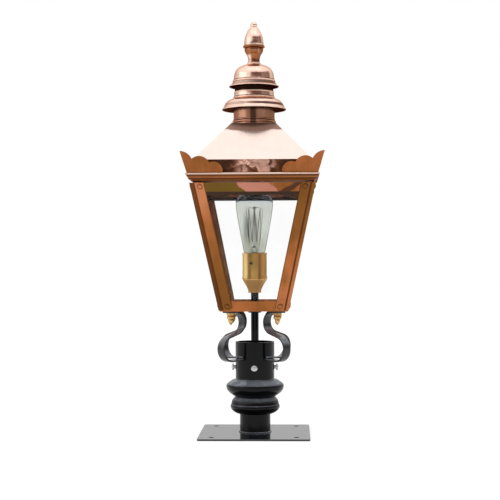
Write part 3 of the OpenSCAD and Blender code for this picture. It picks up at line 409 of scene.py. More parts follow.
def post_marks(name):
    """Marks on a corner post, from the distance to its edge, half width(z) - min(|x|, |y|): painted shade in
    the groove's dark line and in the dark inner lip, painted shade in a ring round each rivet, and the strip
    outside the groove."""
    g, _, out = group(name, (), (), ("Groove", "Ring", "Edge"))
    x, y, z = place(g)
    half = times(calc("SUBTRACT", z, BODY * MM), TAPER, HALF_WIDTH * MM)
    d = calc("SUBTRACT", half, calc("MINIMUM", calc("ABSOLUTE", x), calc("ABSOLUTE", y)))
    # Painted shade: the groove's dark line and the dark inner lip by the glass.
    lip = times(between(d, 0.0229, 0.0300, 0.0006), 0.8)
    link(calc("MAXIMUM", between(d, 0.0058, 0.0081, 0.0008), lip), out, "Groove")
    across = calc("SUBTRACT", d, RIVET_INSET * MM)
    rings = []
    # Painted shade in a ring round each rivet head.
    for height in RIVET_ROWS:
        up = calc("SUBTRACT", z, height * MM)
        far = calc("SQRT", calc("ADD", times(across, across), times(up, up)))
        rings.append(between(far, 0.0037, 0.0046, 0.0006))
    link(calc("MAXIMUM", *rings), out, "Ring")
    link(span(d, 0.0050, 0.0060, 1.0, 0.0), out, "Edge")
    return g


def once(name, build):
    """Node group of that name, built the first time it is asked for."""
    return bpy.data.node_groups.get(name) or build(name)


def surface(material):
    """The material's Principled BSDF."""
    return material.node_tree.nodes["Principled BSDF"]


def source(n, k):
    """Socket that feeds input k of a node."""
    return n.inputs[k].links[0].from_socket


def shader(name, **sockets):
    """New material whose Principled BSDF has the given constants."""
    m = bpy.data.materials.new(name)
    m.use_nodes = True
    for k, v in sockets.items():
        feed(surface(m), k.replace("_", " "), v)
    return m


def bumped(material, height, strength, depth):
    """Adds a bump to a material, on top of any that it has."""
    p = surface(material)
    b = node(material, "ShaderNodeBump", Strength=strength, Distance=depth)
    link(height, b, "Height")
    if p.inputs["Normal"].links:
        link(source(p, "Normal"), b, "Normal")
    link(b.outputs["Normal"], p, "Normal")
    return material


def grouped(name, g, feeds, bump, depth, **sockets):
    """Material that takes colour, roughness and bump from a group."""
    m = shader(name, **sockets)
    n = node(m, "ShaderNodeGroup", node_tree=g)
    for k, v in feeds.items():
        feed(n, k, v)
    link(n.outputs["Color"], surface(m), "Base Color")
    link(n.outputs["Roughness"], surface(m), "Roughness")
    return bumped(m, n.outputs["Height"], bump, depth)


def over(material, mask, colour, share=None):
    """Lays a colour over a material's base colour by a mask, or by a share of it."""
    p = surface(material)
    mask = mask if share is None else times(mask, share)
    link(blend_colour(mask, source(p, "Base Color"), colour), p, "Base Color")
    return material


def copper(name, clean, dark, bright, patina, rough, coat=0.06, bump=0.25, depth=0.0012):
    """Sheet metal of three colours with a thin lacquer, whose grazing reflections stay warm."""
    feeds = {"Clean": clean, "Patina": dark, "Bright": bright, "Patina Amount": patina, "Roughness": rough}
    return grouped(name, once("Aged sheet metal", sheet_metal), feeds, bump, depth, Metallic=1.0,
                   Coat_Weight=coat, Coat_Roughness=0.08, Specular_Tint=(0.62, 0.36, 0.24))


def brass(name, metallic, *recipe):
    """Lacquered brass: less of a mirror than the copper, with yellow grazing reflections."""
    m = copper(name, *recipe)
    feed(surface(m), "Metallic", metallic)
    feed(surface(m), "Specular Tint", (0.75, 0.55, 0.30))
    return m


def shell_brass(name, *recipe):
    """Brass of the lampholder's shell, with a painted highlight in a pale stripe at the left and a painted
    dark reflection in a brown stripe right of the middle.
    """
    m = brass(name, *recipe)
    x = place(m)[0]
    # Painted highlight in a pale stripe at the left.
    over(m, span(x, -0.009, -0.015), (0.92, 0.64, 0.28), 0.8)
    # Painted dark reflection in a brown stripe right of the middle.
    return over(m, between(x, 0.008, 0.016, 0.003), (0.40, 0.175, 0.045), 0.75)


def cup_copper(name, *recipe):
    """Copper of the finial's cup, with a painted highlight at the left of its stalk and round its foot."""
    m = copper(name, *recipe)
    x, _, z = place(m)
    # Painted highlight at the left of the stalk and round the foot.
    stalk = times(times(span(x, -0.003, -0.007), span(z, 0.6450, 0.6410)), 0.75)
    return over(m, calc("MAXIMUM", stalk, between(z, 0.6275, 0.6298, 0.0006)), (0.95, 0.68, 0.57))


def post_copper(name, f, *recipe):
    """Copper of the posts: brown and paler patches, and painted shade in the groove's line, the rivet rings
    and the outer strip of the left posts.
    """
    m = copper(name, *recipe)
    x, _, z = place(m)
    # Brown where x and the height above 0.318 m have the same sign, paler where they differ, shifted by a
    # noise wobble.
    wobble = noise(m, 26, 3, 0.55, (1, 1, 0.4))
    skew = times(wobble, 0.006, times(calc("SUBTRACT", z, 0.318), x))
    over(m, span(skew, 0.0010, 0.0065), tuple(f.copper_dark), 0.88)
    over(m, span(skew, 0.0010, -0.0040), (0.60, 0.230, 0.105), 0.62)
    marks = node(m, "ShaderNodeGroup", node_tree=once("Post marks", post_marks)).outputs
    # Painted shade on the strip outside the groove of the left posts.
    over(m, times(marks["Edge"], span(x, 0.0, -0.02)), (0.115, 0.038, 0.010), 0.92)
    # Painted shade in a ring round each rivet.
    over(m, marks["Ring"], (0.07, 0.026, 0.009), 0.60)
    # Painted shade in the groove's line and the dark inner lip.
    return over(m, marks["Groove"], (0.085, 0.026, 0.008), 0.88)


def along_face(home):
    """Distance from the middle of the nearest face, x at front and back and y at the sides, and height."""
    x, y, z = place(home)
    front = calc("GREATER_THAN", calc("ABSOLUTE", y), calc("ABSOLUTE", x))
    return times(calc("SUBTRACT", x, y), front, y), z


def rail_copper(name, *recipe):
    """Copper of the top rail, with a painted reflection: olive at one end, a rose highlight with slanted ends
    in the middle and dark at the other end; and painted shade along its lip."""
    m = copper(name, *recipe)
    v, z = along_face(m)
    v = times(noise(m, 70, 3, 0.55), 0.020, calc("SUBTRACT", v, 0.010))
    down = calc("SUBTRACT", 0.4185, z)
    left = times(down, -1.2, v)
    right = times(down, 1.6, v)
    # Painted reflection: olive at one end, a rose highlight in the middle and dark at the other end.
    over(m, span(left, -0.024, -0.028), (0.155, 0.085, 0.016))
    over(m, between(left, -0.026, 0.026, 0.004), (0.50, 0.205, 0.140))
    over(m, between(right, 0.068, 0.078, 0.005), (0.095, 0.036, 0.018))
    # Painted shade along the rail's lower lip.
    return over(m, span(z, 0.4062, 0.4048), (0.050, 0.028, 0.018))


def cornice_copper(name, *recipe):
    """Copper of the cornice: a painted highlight along the rolled nose, painted shade under the nose and in
    the crease at the foot of the sloping face, and a brown band on the lower moulding.
    """
    m = copper(name, *recipe)
    z = place(m)[2]
    # Bands by height: painted shade in the fold under the nose, a painted highlight along the nose, a painted
    # shade line at its foot, painted shade in the crease at the foot of the sloping face, and a brown band on
    # the lower moulding.
    for low, high, soft, colour in ((0.4300, 0.4318, 0.0010, (0.155, 0.055, 0.020)),
                                    (0.4334, 0.4352, 0.0006, (1.0, 0.76, 0.64)),
                                    (0.4318, 0.4325, 0.0005, (0.10, 0.035, 0.015)),
                                    (0.4258, 0.4275, 0.0009, (0.10, 0.036, 0.011)),
                                    (0.4200, 0.4236, 0.0004, (0.30, 0.105, 0.03))):
        over(m, between(z, low, high, soft), colour)
    return m


def roof_copper(name, *recipe):
    """Bright copper of the pyramid, with painted shade and a painted dark reflection of the cowl in a wavy
    zone under the chimney, where it is also rougher, darker still at its top.
    """
    m = copper(name, *recipe)
    x, _, z = place(m)
    height = times(noise(m, 30, 3, 0.5, (1, 1, 0.2)), -0.012, z)
    middle = span(calc("ABSOLUTE", calc("SUBTRACT", x, 0.004)), 0.034, 0.004, 0.0, 0.0042)
    height = calc("ADD", height, middle)
    # Painted shade and reflection under the chimney: a wavy zone, lower in the middle, duller and darker, and
    # darker again near the top.
    shade_zone = span(height, 0.5040, 0.5070)
    dull = calc("MAXIMUM", times(shade_zone, 0.62), source(surface(m), "Roughness"))
    link(dull, surface(m), "Roughness")
    over(m, shade_zone, (0.37, 0.200, 0.140), 0.9)
    return over(m, span(height, 0.5120, 0.5180), (0.14, 0.070, 0.048), 0.7)


def spun_copper(name, *recipe):
    """Copper spun on a lathe: a painted dark reflection in a ring low on the lower cowl, painted shade in a
    ring at the foot of the hood's dome, both denser at the right, and painted shade lines at the beads.
    """
    m = copper(name, *recipe)
    x, _, z = place(m)
    height = times(noise(m, 30, 2, 0.5, (1, 1, 0.3)), 0.0012, z)
    right = span(x, -0.030, 0.012, 0.40, 1.0)
    # Painted dark reflection in a ring low on the lower cowl, denser at the right.
    over(m, times(between(height, 0.5558, 0.5594, 0.0010), times(right, 0.96)), (0.06, 0.024, 0.016))
    # Painted shade under the bead at the foot of the hood's dome, denser at the right.
    over(m, times(between(z, 0.5918, 0.5960, 0.0012), times(right, 0.94)), (0.07, 0.028, 0.018))
    # Painted shade lines beside the beads of the band and the hood.
    lines = calc("MAXIMUM", between(z, 0.5716, 0.5724, 0.0004), between(z, 0.6004, 0.6012, 0.0005))
    return over(m, lines, (0.16, 0.065, 0.035), 0.85)


def skirt_copper(name, *recipe):
    """Thin copper that was dented by hand: paler patches on the dents in the middle of each side, brown
    towards its ends.
    """
    m = copper(name, *recipe)
    v = along_face(m)[0]
    dents = noise(m, 66, 2, 0.4, Distortion=0.4)
    wide = calc("ABSOLUTE", calc("ADD", v, -0.006))
    over(m, span(times(dents, 0.030, wide), 0.048, 0.058), (0.105, 0.043, 0.024), 0.85)
    over(m, times(span(dents, 0.42, 0.52), span(wide, 0.038, 0.022)), (0.97, 0.56, 0.43), 0.92)
    return bumped(m, dents, 0.6, 0.0030)


def neck_copper(name, *recipe):
    """Copper of the neck, with a dark upright stripe at the front and painted shade in the crease between the
    beads at its foot.
    """
    m = copper(name, *recipe)
    x, y, z = place(m)
    # A dark upright stripe down the front.
    over(m, times(between(x, -0.0035, 0.0025, 0.0035), span(y, 0.0, -0.01)), (0.075, 0.030, 0.016), 0.85)
    # Painted shade in the crease between the two beads.
    return over(m, between(z, 0.5308, 0.5318, 0.0005), (0.09, 0.035, 0.018))


def coated(name, colour, dust, rough, bump, depth, **sockets):
    """Painted or glazed surface of two colours."""
    return grouped(name, once("Brushed coat", brushed_coat), {"Colour": colour, "Dust": dust,
                   "Roughness": rough}, bump, depth, **sockets)


def black_paint(name, f, rough, sheen, level, low):
    """Black gloss paint whose upward faces, from normal z = low, carry a patchy grey-blue painted sheen of
    the sky, with paler painted highlight spots.
    """
    m = coated(name, tuple(f.paint), tone(f.paint, 2.5), rough, 0.10, 0.0008, Coat_Weight=0.0,
               Specular_IOR_Level=level)
    sep = node(m, "ShaderNodeSeparateXYZ")
    link(node(m, "ShaderNodeNewGeometry").outputs["Normal"], sep, "Vector")
    # Painted sheen: grey-blue on faces that look up, in patches, with paler highlight spots.
    upward_sheen = span(sep.outputs["Z"], low, low + 0.65)
    patches = span(noise(m, 40, 2, 0.5, (1, 1, 2.2)), 0.36, 0.66, 0.70, 1.0)
    over(m, times(times(upward_sheen, sheen), patches), (0.20, 0.215, 0.25))
    spots = span(noise(m, 60, 1, 0.4, (1, 1, 2.5)), 0.50, 0.72)
    return over(m, times(times(upward_sheen, 0.45), spots), (0.46, 0.49, 0.56))


def glass(name, tint, clear, index=1.45):
    """Glass with faint ripples and smears in its surface; clear is the share of light that goes through."""
    m = shader(name, Base_Color=tint, IOR=index, Transmission_Weight=clear, Metallic=0.0)
    bumped(m, noise(m, 22, 1, 0.4), 0.04, 0.001)
    smear = noise(m, 60, 3, 0.6)
    link(span(smear, 0.45, 0.8, 0.0, 0.035), surface(m), "Roughness")
    link(blend_colour(span(smear, 0.2, 0.8), tint, tone(tint, 0.985)), surface(m), "Base Color")
    return m


def stem_glass(name):
    """Glass of the bulb's stem, grey-green towards the hooks."""
    m = glass(name, (0.97, 0.98, 0.99), 0.85)
    return over(m, span(place(m)[2], 0.345, 0.365), (0.30, 0.31, 0.26))


def bulb_glass(name):
    """Clear glass tinted grey-green, with painted reflections: upright streaks denser left of the middle,
    greener at the foot and pale blue near the crown."""
    m = glass(name, (0.77, 0.79, 0.755), 1.0, 1.3)
    x, _, z = place(m)
    streak = noise(m, 90, 3, 0.6, (1, 1, 0.08))
    dense = times(span(streak, 0.30, 0.54), between(x, -0.014, 0.002, 0.008))
    # Painted reflections: grey-green streaks left of the middle, greener at the foot, pale blue near the
    # crown.
    over(m, times(dense, span(z, 0.386, 0.350)), (0.46, 0.48, 0.45), 0.9)
    over(m, span(z, 0.350, 0.308), (0.62, 0.64, 0.56), 0.75)
    return over(m, span(z, 0.388, 0.398), (0.74, 0.79, 0.84))


def materials():
    """All finishes by name, made once."""
    if "Copper frame" in bpy.data.materials:
        return {m.name: m for m in bpy.data.materials}
    f = bpy.context.scene.lantern_finish
    cu, dark, bright, spun = tuple(f.copper), tuple(f.copper_dark), tuple(f.copper_bright), tuple(f.spun)
    roof, metal, steel, rough = tuple(f.roof), tuple(f.brass), tuple(f.steel), f.roughness
    # Clean, patina and rubbed colour; amount of patina; roughness; then lacquer, bump and its depth.
    sheets = {
        "Copper frame": (tone(cu, 1.1), tone(dark, 1.05), bright, 0.65, rough),
        "Copper crown": (tone(cu, 1.05), tone(dark, 1.1), tone(cu, 1.3), 0.7, rough + 0.12, 0.1),
        # Undersides of the cowls and the hood's throat: dark patina, darkened further as painted shade.
        "Copper under cowl": ((0.10, 0.042, 0.026), (0.05, 0.02, 0.012), (0.16, 0.07, 0.04), 0.5, 0.5, 0.0),
        "Copper shade": ((0.032, 0.011, 0.006), (0.02, 0.007, 0.004), (0.05, 0.018, 0.010), 0.5, 0.6, 0.0),
        "Copper tray": (tone(cu, 1.1), dark, bright, 0.7, 0.35, 0.0),
        "Zinc plate": (steel, tone(steel, 0.7), tone(steel, 1.2), 0.4, 0.2, 0.0),
        "Nickel cap": ((0.6, 0.58, 0.52), (0.35, 0.32, 0.28), (0.8, 0.78, 0.72), 0.4, 0.2, 0.0),
        "Blued screw": ((0.07, 0.05, 0.035), (0.03, 0.02, 0.015), (0.15, 0.12, 0.1), 0.5, 0.3, 0.0),
        "Filament": ((0.20, 0.15, 0.09), (0.10, 0.07, 0.04), (0.3, 0.22, 0.14), 0.4, 0.4, 0.0),
    }
    for name, recipe in sheets.items():
        copper(name, *recipe)
    post_copper("Copper posts", f, tone(cu, 1.22), tone(dark, 1.1), bright, 0.75, rough)
    rail_copper("Copper top rail", cu, dark, bright, 0.6, rough)
    cornice_copper("Copper cornice", tone(cu, 1.05), tone(dark, 1.1), bright, 0.6, rough)
    skirt_copper("Copper skirt", (0.34, 0.135, 0.080), tone(dark, 0.45), (0.55, 0.27, 0.19), 1.0, 0.10, 0.06,
                 0.5, 0.003)
    roof_copper("Copper roof", roof, tone(roof, 0.93), tone(roof, 1.03), 0.35, 0.15, 0.3, 0.08)
    spun_copper("Copper spun", spun, tone(spun, 0.68), (0.97, 0.76, 0.67), 0.35, 0.10, 0.3, 0.12)
    # The cup takes a darker copy of the copper: a painted dark reflection of the ground below.
    cup_copper("Copper cup", (0.35, 0.125, 0.046), (0.12, 0.042, 0.018), spun, 0.8, 0.10, 0.2, 0.15)
    neck_copper("Copper neck", (0.54, 0.26, 0.165), tone(dark, 0.8), spun, 0.55, 0.16, 0.3, 0.15)
    brass("Brass lacquered", 0.8, (0.78, 0.50, 0.205), (0.40, 0.215, 0.065), (0.95, 0.72, 0.42), 0.8, 0.22,
          0.0, 0.35)
    shell_brass("Brass shell", 0.85, metal, tone(metal, 0.5), tone(metal, 1.35), 0.8, 0.24, 0.0, 0.35)
    # The cap's brass is a brighter, less mirror-like copy, lit so that it does not mirror the dark inside:
    # painted light.
    brass("Brass cap", 0.3, (0.95, 0.52, 0.16), metal, (0.98, 0.72, 0.42), 0.6, 0.3, 0.0, 0.4)
    black_paint("Black gloss paint", f, 0.16, 0.95, 0.16, 0.20)
    black_paint("Black arm paint", f, 0.20, 0.90, 0.55, 0.05)
    coated("Black plate paint", (0.006, 0.010, 0.016), (0.012, 0.018, 0.026), 0.09, 0.04, 0.0006,
           Coat_Weight=0.50, Coat_Roughness=0.05, IOR=1.5)
    coated("Porcelain", (0.80, 0.78, 0.73), (0.7, 0.67, 0.6), 0.18, 0.05, 0.0006, Coat_Weight=0.5,
           Coat_Roughness=0.1)
    glass("Window glass", (0.995, 0.998, 0.996), 1.0, 1.2)
    stem_glass("Stem glass")
    bulb_glass("Bulb glass")
    return {m.name: m for m in bpy.data.materials}


FINISH_OF = {
    "Black gloss paint": ["pedestal_tube", "spigot_sleeve", "bracket_collar", "stem_tube", "stem_locknuts"],
    "Black plate paint": ["base_plate"],
    "Zinc plate": ["collar_screws", "frame_bolts", "tie_rod", "rod_nuts", "rod_bridge"],
    "Brass lacquered": ["lampholder_contacts", "earth_terminal", "hinge_pins"],
    "Copper posts": ["corner_post_" + corner for corner in CORNERS],
    "Copper frame": ["hinge_frame_leaves", "hinge_roof_leaves", "bottom_frame", "glazing_clips"],
    "Copper top rail": ["top_frame"],
    "Copper cornice": ["cornice"],
    "Copper skirt": ["roof_skirt"],
    "Copper crown": ["crown_" + corner for corner in CORNERS],
    "Copper roof": ["roof_shell"],
    "Copper tray": ["floor_tray"],
    "Porcelain": ["lampholder_core"],
    "Blued screw": ["lampholder_screw", "bulb_contact"],
    "Nickel cap": ["bulb_cap"],
    "Window glass": ["glass_front", "glass_right", "glass_back", "glass_left"],
}


# The lantern's pieces


class LANTERN_OT_frame_finishes(Operator):
    """Puts the finishes on the frame's own sheet, glass, plate and screws"""

    bl_idname = "lantern.frame_finishes"
    bl_label = "Frame finishes"

    def execute(self, context):
        mats = materials()
        for name, nodes in FINISH_OF.items():
            for n in nodes:
                slots = NODES[n].data.materials
                slots.clear()
                slots.append(mats[name])
        return {"FINISHED"}


class LANTERN_OT_ring_moulds(Operator):
    """Turns the two ring moulds of the pedestal"""

    bl_idname = "lantern.ring_moulds"
    bl_label = "Ring moulds"

    def execute(self, context):
        low = outline(
            0, (26.1, 34, 27.2, 34), (27.2, 34.2, 31.5, 35.2, 36, 37.6, 39.6, 40.8, 41.6, 44, 42, 46.4,
            41.6, 48.8, 40.6, 50.6), (40.3, 52.6, 40, 54), (40, 54, 38.6, 57.6, 36.4, 60.6, 34.6, 62,
            34.5, 63), (26.1, 63))
        high = outline(
            0, (26.1, 63, 34.5, 63), (34.5, 63.3, 37.4, 65, 42, 68.4, 45.8, 72.2, 48.2, 76, 49, 79.6,
            48.9, 82), (48.9, 82, 48.2, 84, 46.4, 86, 44, 87.8), (44, 87.8, 41, 89.8, 37.5, 91.8, 34.6, 92.6,
            32.7, 93), (32.5, 93.2, 32.5, 95), (26.1, 95))
        for name, line in (("lower_ring", low), ("upper_ring", high)):
            ob = turned(name + "_turned", line)
            dress(ob, "Black gloss paint", "pedestal", "black_paint", name + "_mould")
        return {"FINISHED"}


class LANTERN_OT_scroll_arms(Operator):
    """Bends the four flat bars between collar and body, with the weld at the collar"""

    bl_idname = "lantern.scroll_arms"
    bl_label = "Scroll arms"

    # Each bend in millimetres: its centre's radius from the axis and height, and its own radius. The slope of
    # the run to the collar is in degrees.
    top = (47.6, 189.2, 18.3)
    low = (56.6, 146.0, 20.4)
    foot_end = 66.0
    collar = 32.6
    slope = 4.6
    width, thick = 16.0, 3.0

    def middle_line(self):
        """Foot, arc about the top centre, common inner tangent, arc about the low centre, run to collar."""
        (ax, az, ar), (bx, bz, br) = self.top, self.low
        d = math.hypot(bx - ax, bz - az)
        n = math.degrees(math.atan2(bz - az, bx - ax) - math.acos((ar + br) / d)) + 360
        foot = np.stack([np.linspace(self.foot_end, ax, 9), np.full(9, BODY - self.thick / 2)], 1)
        one = arc(ax, az, ar, 90, n, 34)
        two = arc(bx, bz, br, n - 180, -90 - self.slope, 40)
        end = two[-1]
        x = np.linspace(end[0], self.collar, 9)
        run = np.stack([x, end[1] + (end[0] - x) * math.tan(math.radians(self.slope))], 1)
        tangent = np.linspace(one[-1], two[0], 6)
        return np.vstack([foot[:-1], one[:-1], tangent[:-1], two[:-1], run])

    def weld(self, ahead, side, height, phase, reach=34.3, lift=0.6, half=7.6, wall=32.7):
        """Grid of the weld across the bar at the collar: a circle about (reach, height + lift), swollen by
        1 + 0.10 sin(2.6 u + phase) - 0.22 (u / half)^4 at each place u across, and kept out of the wall."""
        u = np.linspace(-half, half, 25)[:, None]
        swell = 1 + 0.10 * np.sin(u * 2.6 + phase) - 0.22 * (np.abs(u) / half) ** 4
        a = np.linspace(0, 2 * np.pi, 18, endpoint=False)
        r = np.maximum(reach + 3.1 * swell * np.cos(a), np.sqrt(wall**2 - u**2))
        z = height + lift + 3.0 * swell * np.sin(a)
        g = (r[..., None] * ahead + u[..., None] * side + z[..., None] * np.array([0, 0, 1])) * MM
        cap = [np.repeat(g[k].mean(0)[None, None], len(a), 1) for k in (0, -1)]
        return np.concatenate([cap[0], g, cap[1]])

    def execute(self, context):
        line = self.middle_line() * MM
        section = bar_section(self.width * MM, self.thick * MM, shape().arm_edge)
        top_face = line[-1, 1] / MM + self.thick / 2
        for name, turn in CORNERS.items():
            c, s = math.cos(math.radians(turn)), math.sin(math.radians(turn))
            path = np.stack([line[:, 0] * c, line[:, 0] * s, line[:, 1]], 1)
            side = np.array([-s, c, 0.0])
            weld = self.weld(np.array([c, s, 0.0]), side, top_face, turn)
            ob = lattice("scroll_arm_bent_" + name, [swept(path, side, section), weld], 40)
            dress(ob, "Black arm paint", "head", "black_paint", "scroll_arm_" + name)
        return {"FINISHED"}


class LANTERN_OT_frame_rivets(Operator):
    """Turns the sixteen low domed rivets that join the posts to the rails"""

    bl_idname = "lantern.frame_rivets"
    bl_label = "Frame rivets"

    def execute(self, context):
        line = outline(
            0, (0, -2.2, 1.6, -2.2), (1.6, 0), (3.8, 0), (3.8, 0.1, 3.5, 0.7, 2.7, 1.2, 1.4, 1.45, 0, 1.5))
        lean = math.atan(TAPER)
        head = revolve(line, 32)
        grids = []
        for side in range(4):
            about = Matrix.Rotation(side * math.pi / 2, 4, "Z")
            for z in RIVET_ROWS:
                half = HALF_WIDTH + (z - BODY) * TAPER
                for s in (-1, 1):
                    spot = Matrix.Translation((s * (half - RIVET_INSET) * MM, -half * MM, z * MM))
                    m = np.array(about @ spot @ Matrix.Rotation(math.pi / 2 + lean, 4, "X"))
                    grids.append(head @ m[:3, :3].T + m[:3, 3])
        ob = lattice("frame_rivets_domed", grids)
        dress(ob, "Copper posts", "head", "aged_copper", "frame_rivets")
        return {"FINISHED"}


class LANTERN_OT_acorn_nuts(Operator):
    """Turns the four brass acorn nuts under the arm feet"""

    bl_idname = "lantern.acorn_nuts"
    bl_label = "Acorn nuts"

    def execute(self, context):
        foot = BODY - LANTERN_OT_scroll_arms.thick
        line = outline(
            foot, (0, -20.2, 1.1, -19.8, 1.9, -18.6, 3.2, -16.8, 4.2, -14.6, 4.3, -12.4, 3.9, -11), (3.9, -11,
            5.4, -10.3, 6.5, -8.6, 6.7, -7.2, 6.2, -5.6, 5.2, -4.8), (5.2, -4.8, 6.2, -4.2, 6.9, -3.2),
            (7.2, -2.9, 7.2, -0.3, 6.9, 0), (0, 0))
        bolt_reach = 55
        side = bolt_reach * MM / math.sqrt(2)
        spots = [(x, y) for x in (-side, side) for y in (-side, side)]
        ob = turned("acorn_nuts_turned", line, spots, 48)
        dress(ob, "Brass lacquered", "head", "lacquered_brass", "acorn_nuts")
        return {"FINISHED"}


class LANTERN_OT_chimney(Operator):
    """Spins the neck, the cowls and the band between them"""

    bl_idname = "lantern.chimney"
    bl_label = "Chimney"

    def execute(self, context):
        cowl_sheet = 1.25
        top = COWL - cowl_sheet - CHIMNEY
        neck = outline(
            CHIMNEY, (31.6, 0, 35.7, 0), (35.7, 2.4), (35.4, 2.6, 36.7, 3.6, 37.1, 5, 36.7, 6.4, 35.3, 7.5),
            (35.3, 7.6, 35.6, 8.2, 35.7, 8.8, 35.5, 9.4, 35.1, 9.9), (35, 10, 35, 27), (32.8, 28),
            (32.8, top), (31.6, top))
        dress(turned("chimney_neck_spun", neck), "Copper neck", "roof", "aged_copper", "chimney_neck")
        low = outline(
            COWL, (27, -1.2, 31.5, -1.2), (31.5, -1.2, 38.6, -2.5, 43.8, -5.5, 47.2, -9.2, 49.3, -13,
            50.9, -16.2, 52.6, -18.4), (52.6, -18.4, 53.4, -19.1, 54.2, -18.9, 54.5, -18.1, 54, -17.2),
            (54, -17.2, 52.9, -16.1, 51.8, -14.2, 50.3, -10.9, 48.3, -7.4, 45, -4, 40.2, -1.3, 37, -0.25,
            35, 0), (27, 0))
        ob = dress(turned("lower_cowl_spun", low), "Copper spun", "roof", "aged_copper", "lower_cowl")
        # Dark patina with painted shade on the lower cowl's underside.
        darken_inside(ob, "Copper under cowl")
        band = outline(
            COWL, (31.4, 0, 34.8, 0), (34.8, 0.1, 35.5, 0.8, 35.7, 1.6, 35.5, 2.4, 34.7, 3.2), (34.4, 3.4,
            33.4, 9.6), (33.4, 9.7, 34.0, 10.3, 34.2, 11, 34.0, 11.7, 33.2, 12.3), (33.2, 12.4, 31.4, 12.4))
        dress(turned("chimney_band_spun", band), "Copper spun", "roof", "aged_copper", "chimney_band")
        hood = outline(
            HOOD, (3.1, 41, 12, 41, 15, 41.2), (15, 41.2, 19.2, 39.9, 23.4, 37.8, 26.7, 35.2, 29.3, 32.2,
            31, 29.4, 32.1, 26.2, 32.8, 22.6, 33.4, 19, 34, 16.4, 34.8, 14.8), (34.4, 13.4, 35.6, 11.6,
            37.3, 9, 39.2, 6.8, 40.6, 5.7), (40.6, 5.7, 41.4, 5.1, 42.1, 5.4, 42.3, 6.1, 41.8, 6.8),
            (41.8, 6.8, 40.2, 7.9, 38.4, 9.7, 36.9, 12.1, 35.7, 13.7), (35.7, 13.7, 36.3, 14.4, 36.4, 15.3,
            35.9, 16.1, 35.2, 16.6), (35.2, 16.6, 34.6, 19.4, 34, 23, 33.4, 26.6, 32.3, 30.2, 30.6, 33.4,
            27.9, 36.5, 24.2, 39.2, 19.8, 41.3, 15.6, 42.6), (15.6, 42.6, 10, 43.1, 3.1, 43.2))
        ob = turned("upper_cowl_spun", hood)
        throat = outline(HOOD, (30.8, -3, 32.8, -3), (32.8, 15), (30.8, 15))
        grids = [revolve(np.vstack([throat, throat[:1]]), 96)]
        for a in np.radians(list(CORNERS.values())):
            out = np.linspace(31.6, 35.0, 4)[:, None] * (np.cos(a), np.sin(a), 0)
            path = (out + (0, 0, HOOD + 13.6)) * MM
            grids.append(swept(path, (-np.sin(a), np.cos(a), 0), bar_section(6 * MM, 1.6 * MM, 0.4 * MM)))
        inner = lattice("upper_cowl_throat", grids)
        dress(ob, "Copper spun", "roof", "aged_copper", "upper_cowl")
        # Dark patina with painted shade inside the hood and on its throat.
        darken_inside(ob, "Copper shade")
        dress(inner, "Copper shade", "roof", "aged_copper")
        return {"FINISHED"}


class LANTERN_OT_finial(Operator):
    """Turns the finial's cup and its spire"""

    bl_idname = "lantern.finial"
    bl_label = "Finial"

    def execute(self, context):
        cup = outline(
            CUP, (3.1, 0, 10.8, 0), (10.8, 0, 11.6, 0.6, 11.9, 1.4, 11.5, 2.4, 10.5, 3.3), (10.5, 3.3,
            9.9, 5.4, 9.8, 8, 10.1, 11, 11, 14.4, 12.6, 17.8, 14.6, 20.8, 15.7, 23.8, 15.9, 26.4, 15.3, 28.3),
            (15.3, 28.3, 17.2, 28.8, 18.3, 29.6, 18.6, 30.6, 18.3, 31.6, 17.6, 32.5), (3.1, 32.5))
        dress(turned("finial_cup_turned", cup), "Copper cup", "roof", "aged_copper", "finial_cup")
        tip = outline(
            SPIRE, (3.1, 0, 16.4, 0), (16.4, 0, 16.6, 1.6, 16.6, 4, 16.2, 7.4, 15.6, 11, 15, 14.4, 13.9, 17.8,
            12.4, 21.2, 10.7, 24.6, 8.7, 28, 6.5, 30.7, 5.1, 31.9), (5, 32.6), (5, 32.6, 5.5, 33.8, 5.7, 35,
            5.5, 36.6, 4.4, 38.6, 2.6, 39.7, 0, 40))
        socket = np.array([[0.0, SPIRE + 16], [3.1, SPIRE + 16]]) * MM
        line = np.vstack([socket, tip])
        dress(turned("finial_spire_turned", line), "Copper spun", "roof", "aged_copper", "finial_spire")
        return {"FINISHED"}


class LANTERN_OT_lampholder(Operator):
    """Spins the brass cap and shell of the lampholder"""

    bl_idname = "lantern.lampholder"
    bl_label = "Lampholder"

    def execute(self, context):
        cap = outline(
            HOLDER, (6.6, 0, 10.5, 0), (11, 1), (11, 4), (11, 4, 11.6, 5.4, 12.8, 8.6, 16, 14.5, 18.6, 19,
            20.3, 22), (20.5, 22.4, 20.5, 24), (17.9, 24), (17.9, 24, 17.2, 20, 14.6, 15.6, 11.6, 10.7),
            (6.6, 10.7))
        ob = turned("lampholder_cap_spun", cap, turns=96)
        dress(ob, "Brass cap", "head", "lacquered_brass", "lampholder_cap")
        seam, top = HOLDER + 24, 43.5
        shell = outline(
            seam, (19.4, 0, 20.5, 0), (20.5, 0, 21.1, 0.6, 21.3, 1.7, 21.1, 2.8, 20.5, 3.4), (20.5, top - 3),
            (20.5, top - 3, 20.9, top - 2.4, 21.1, top - 1.4, 20.8, top - 0.4, 20.1, top), (19.4, top - 0.3))
        ob = turned("lampholder_shell_spun", shell, turns=96)
        dress(ob, "Brass shell", "head", "lacquered_brass", "lampholder_shell")
        return {"FINISHED"}


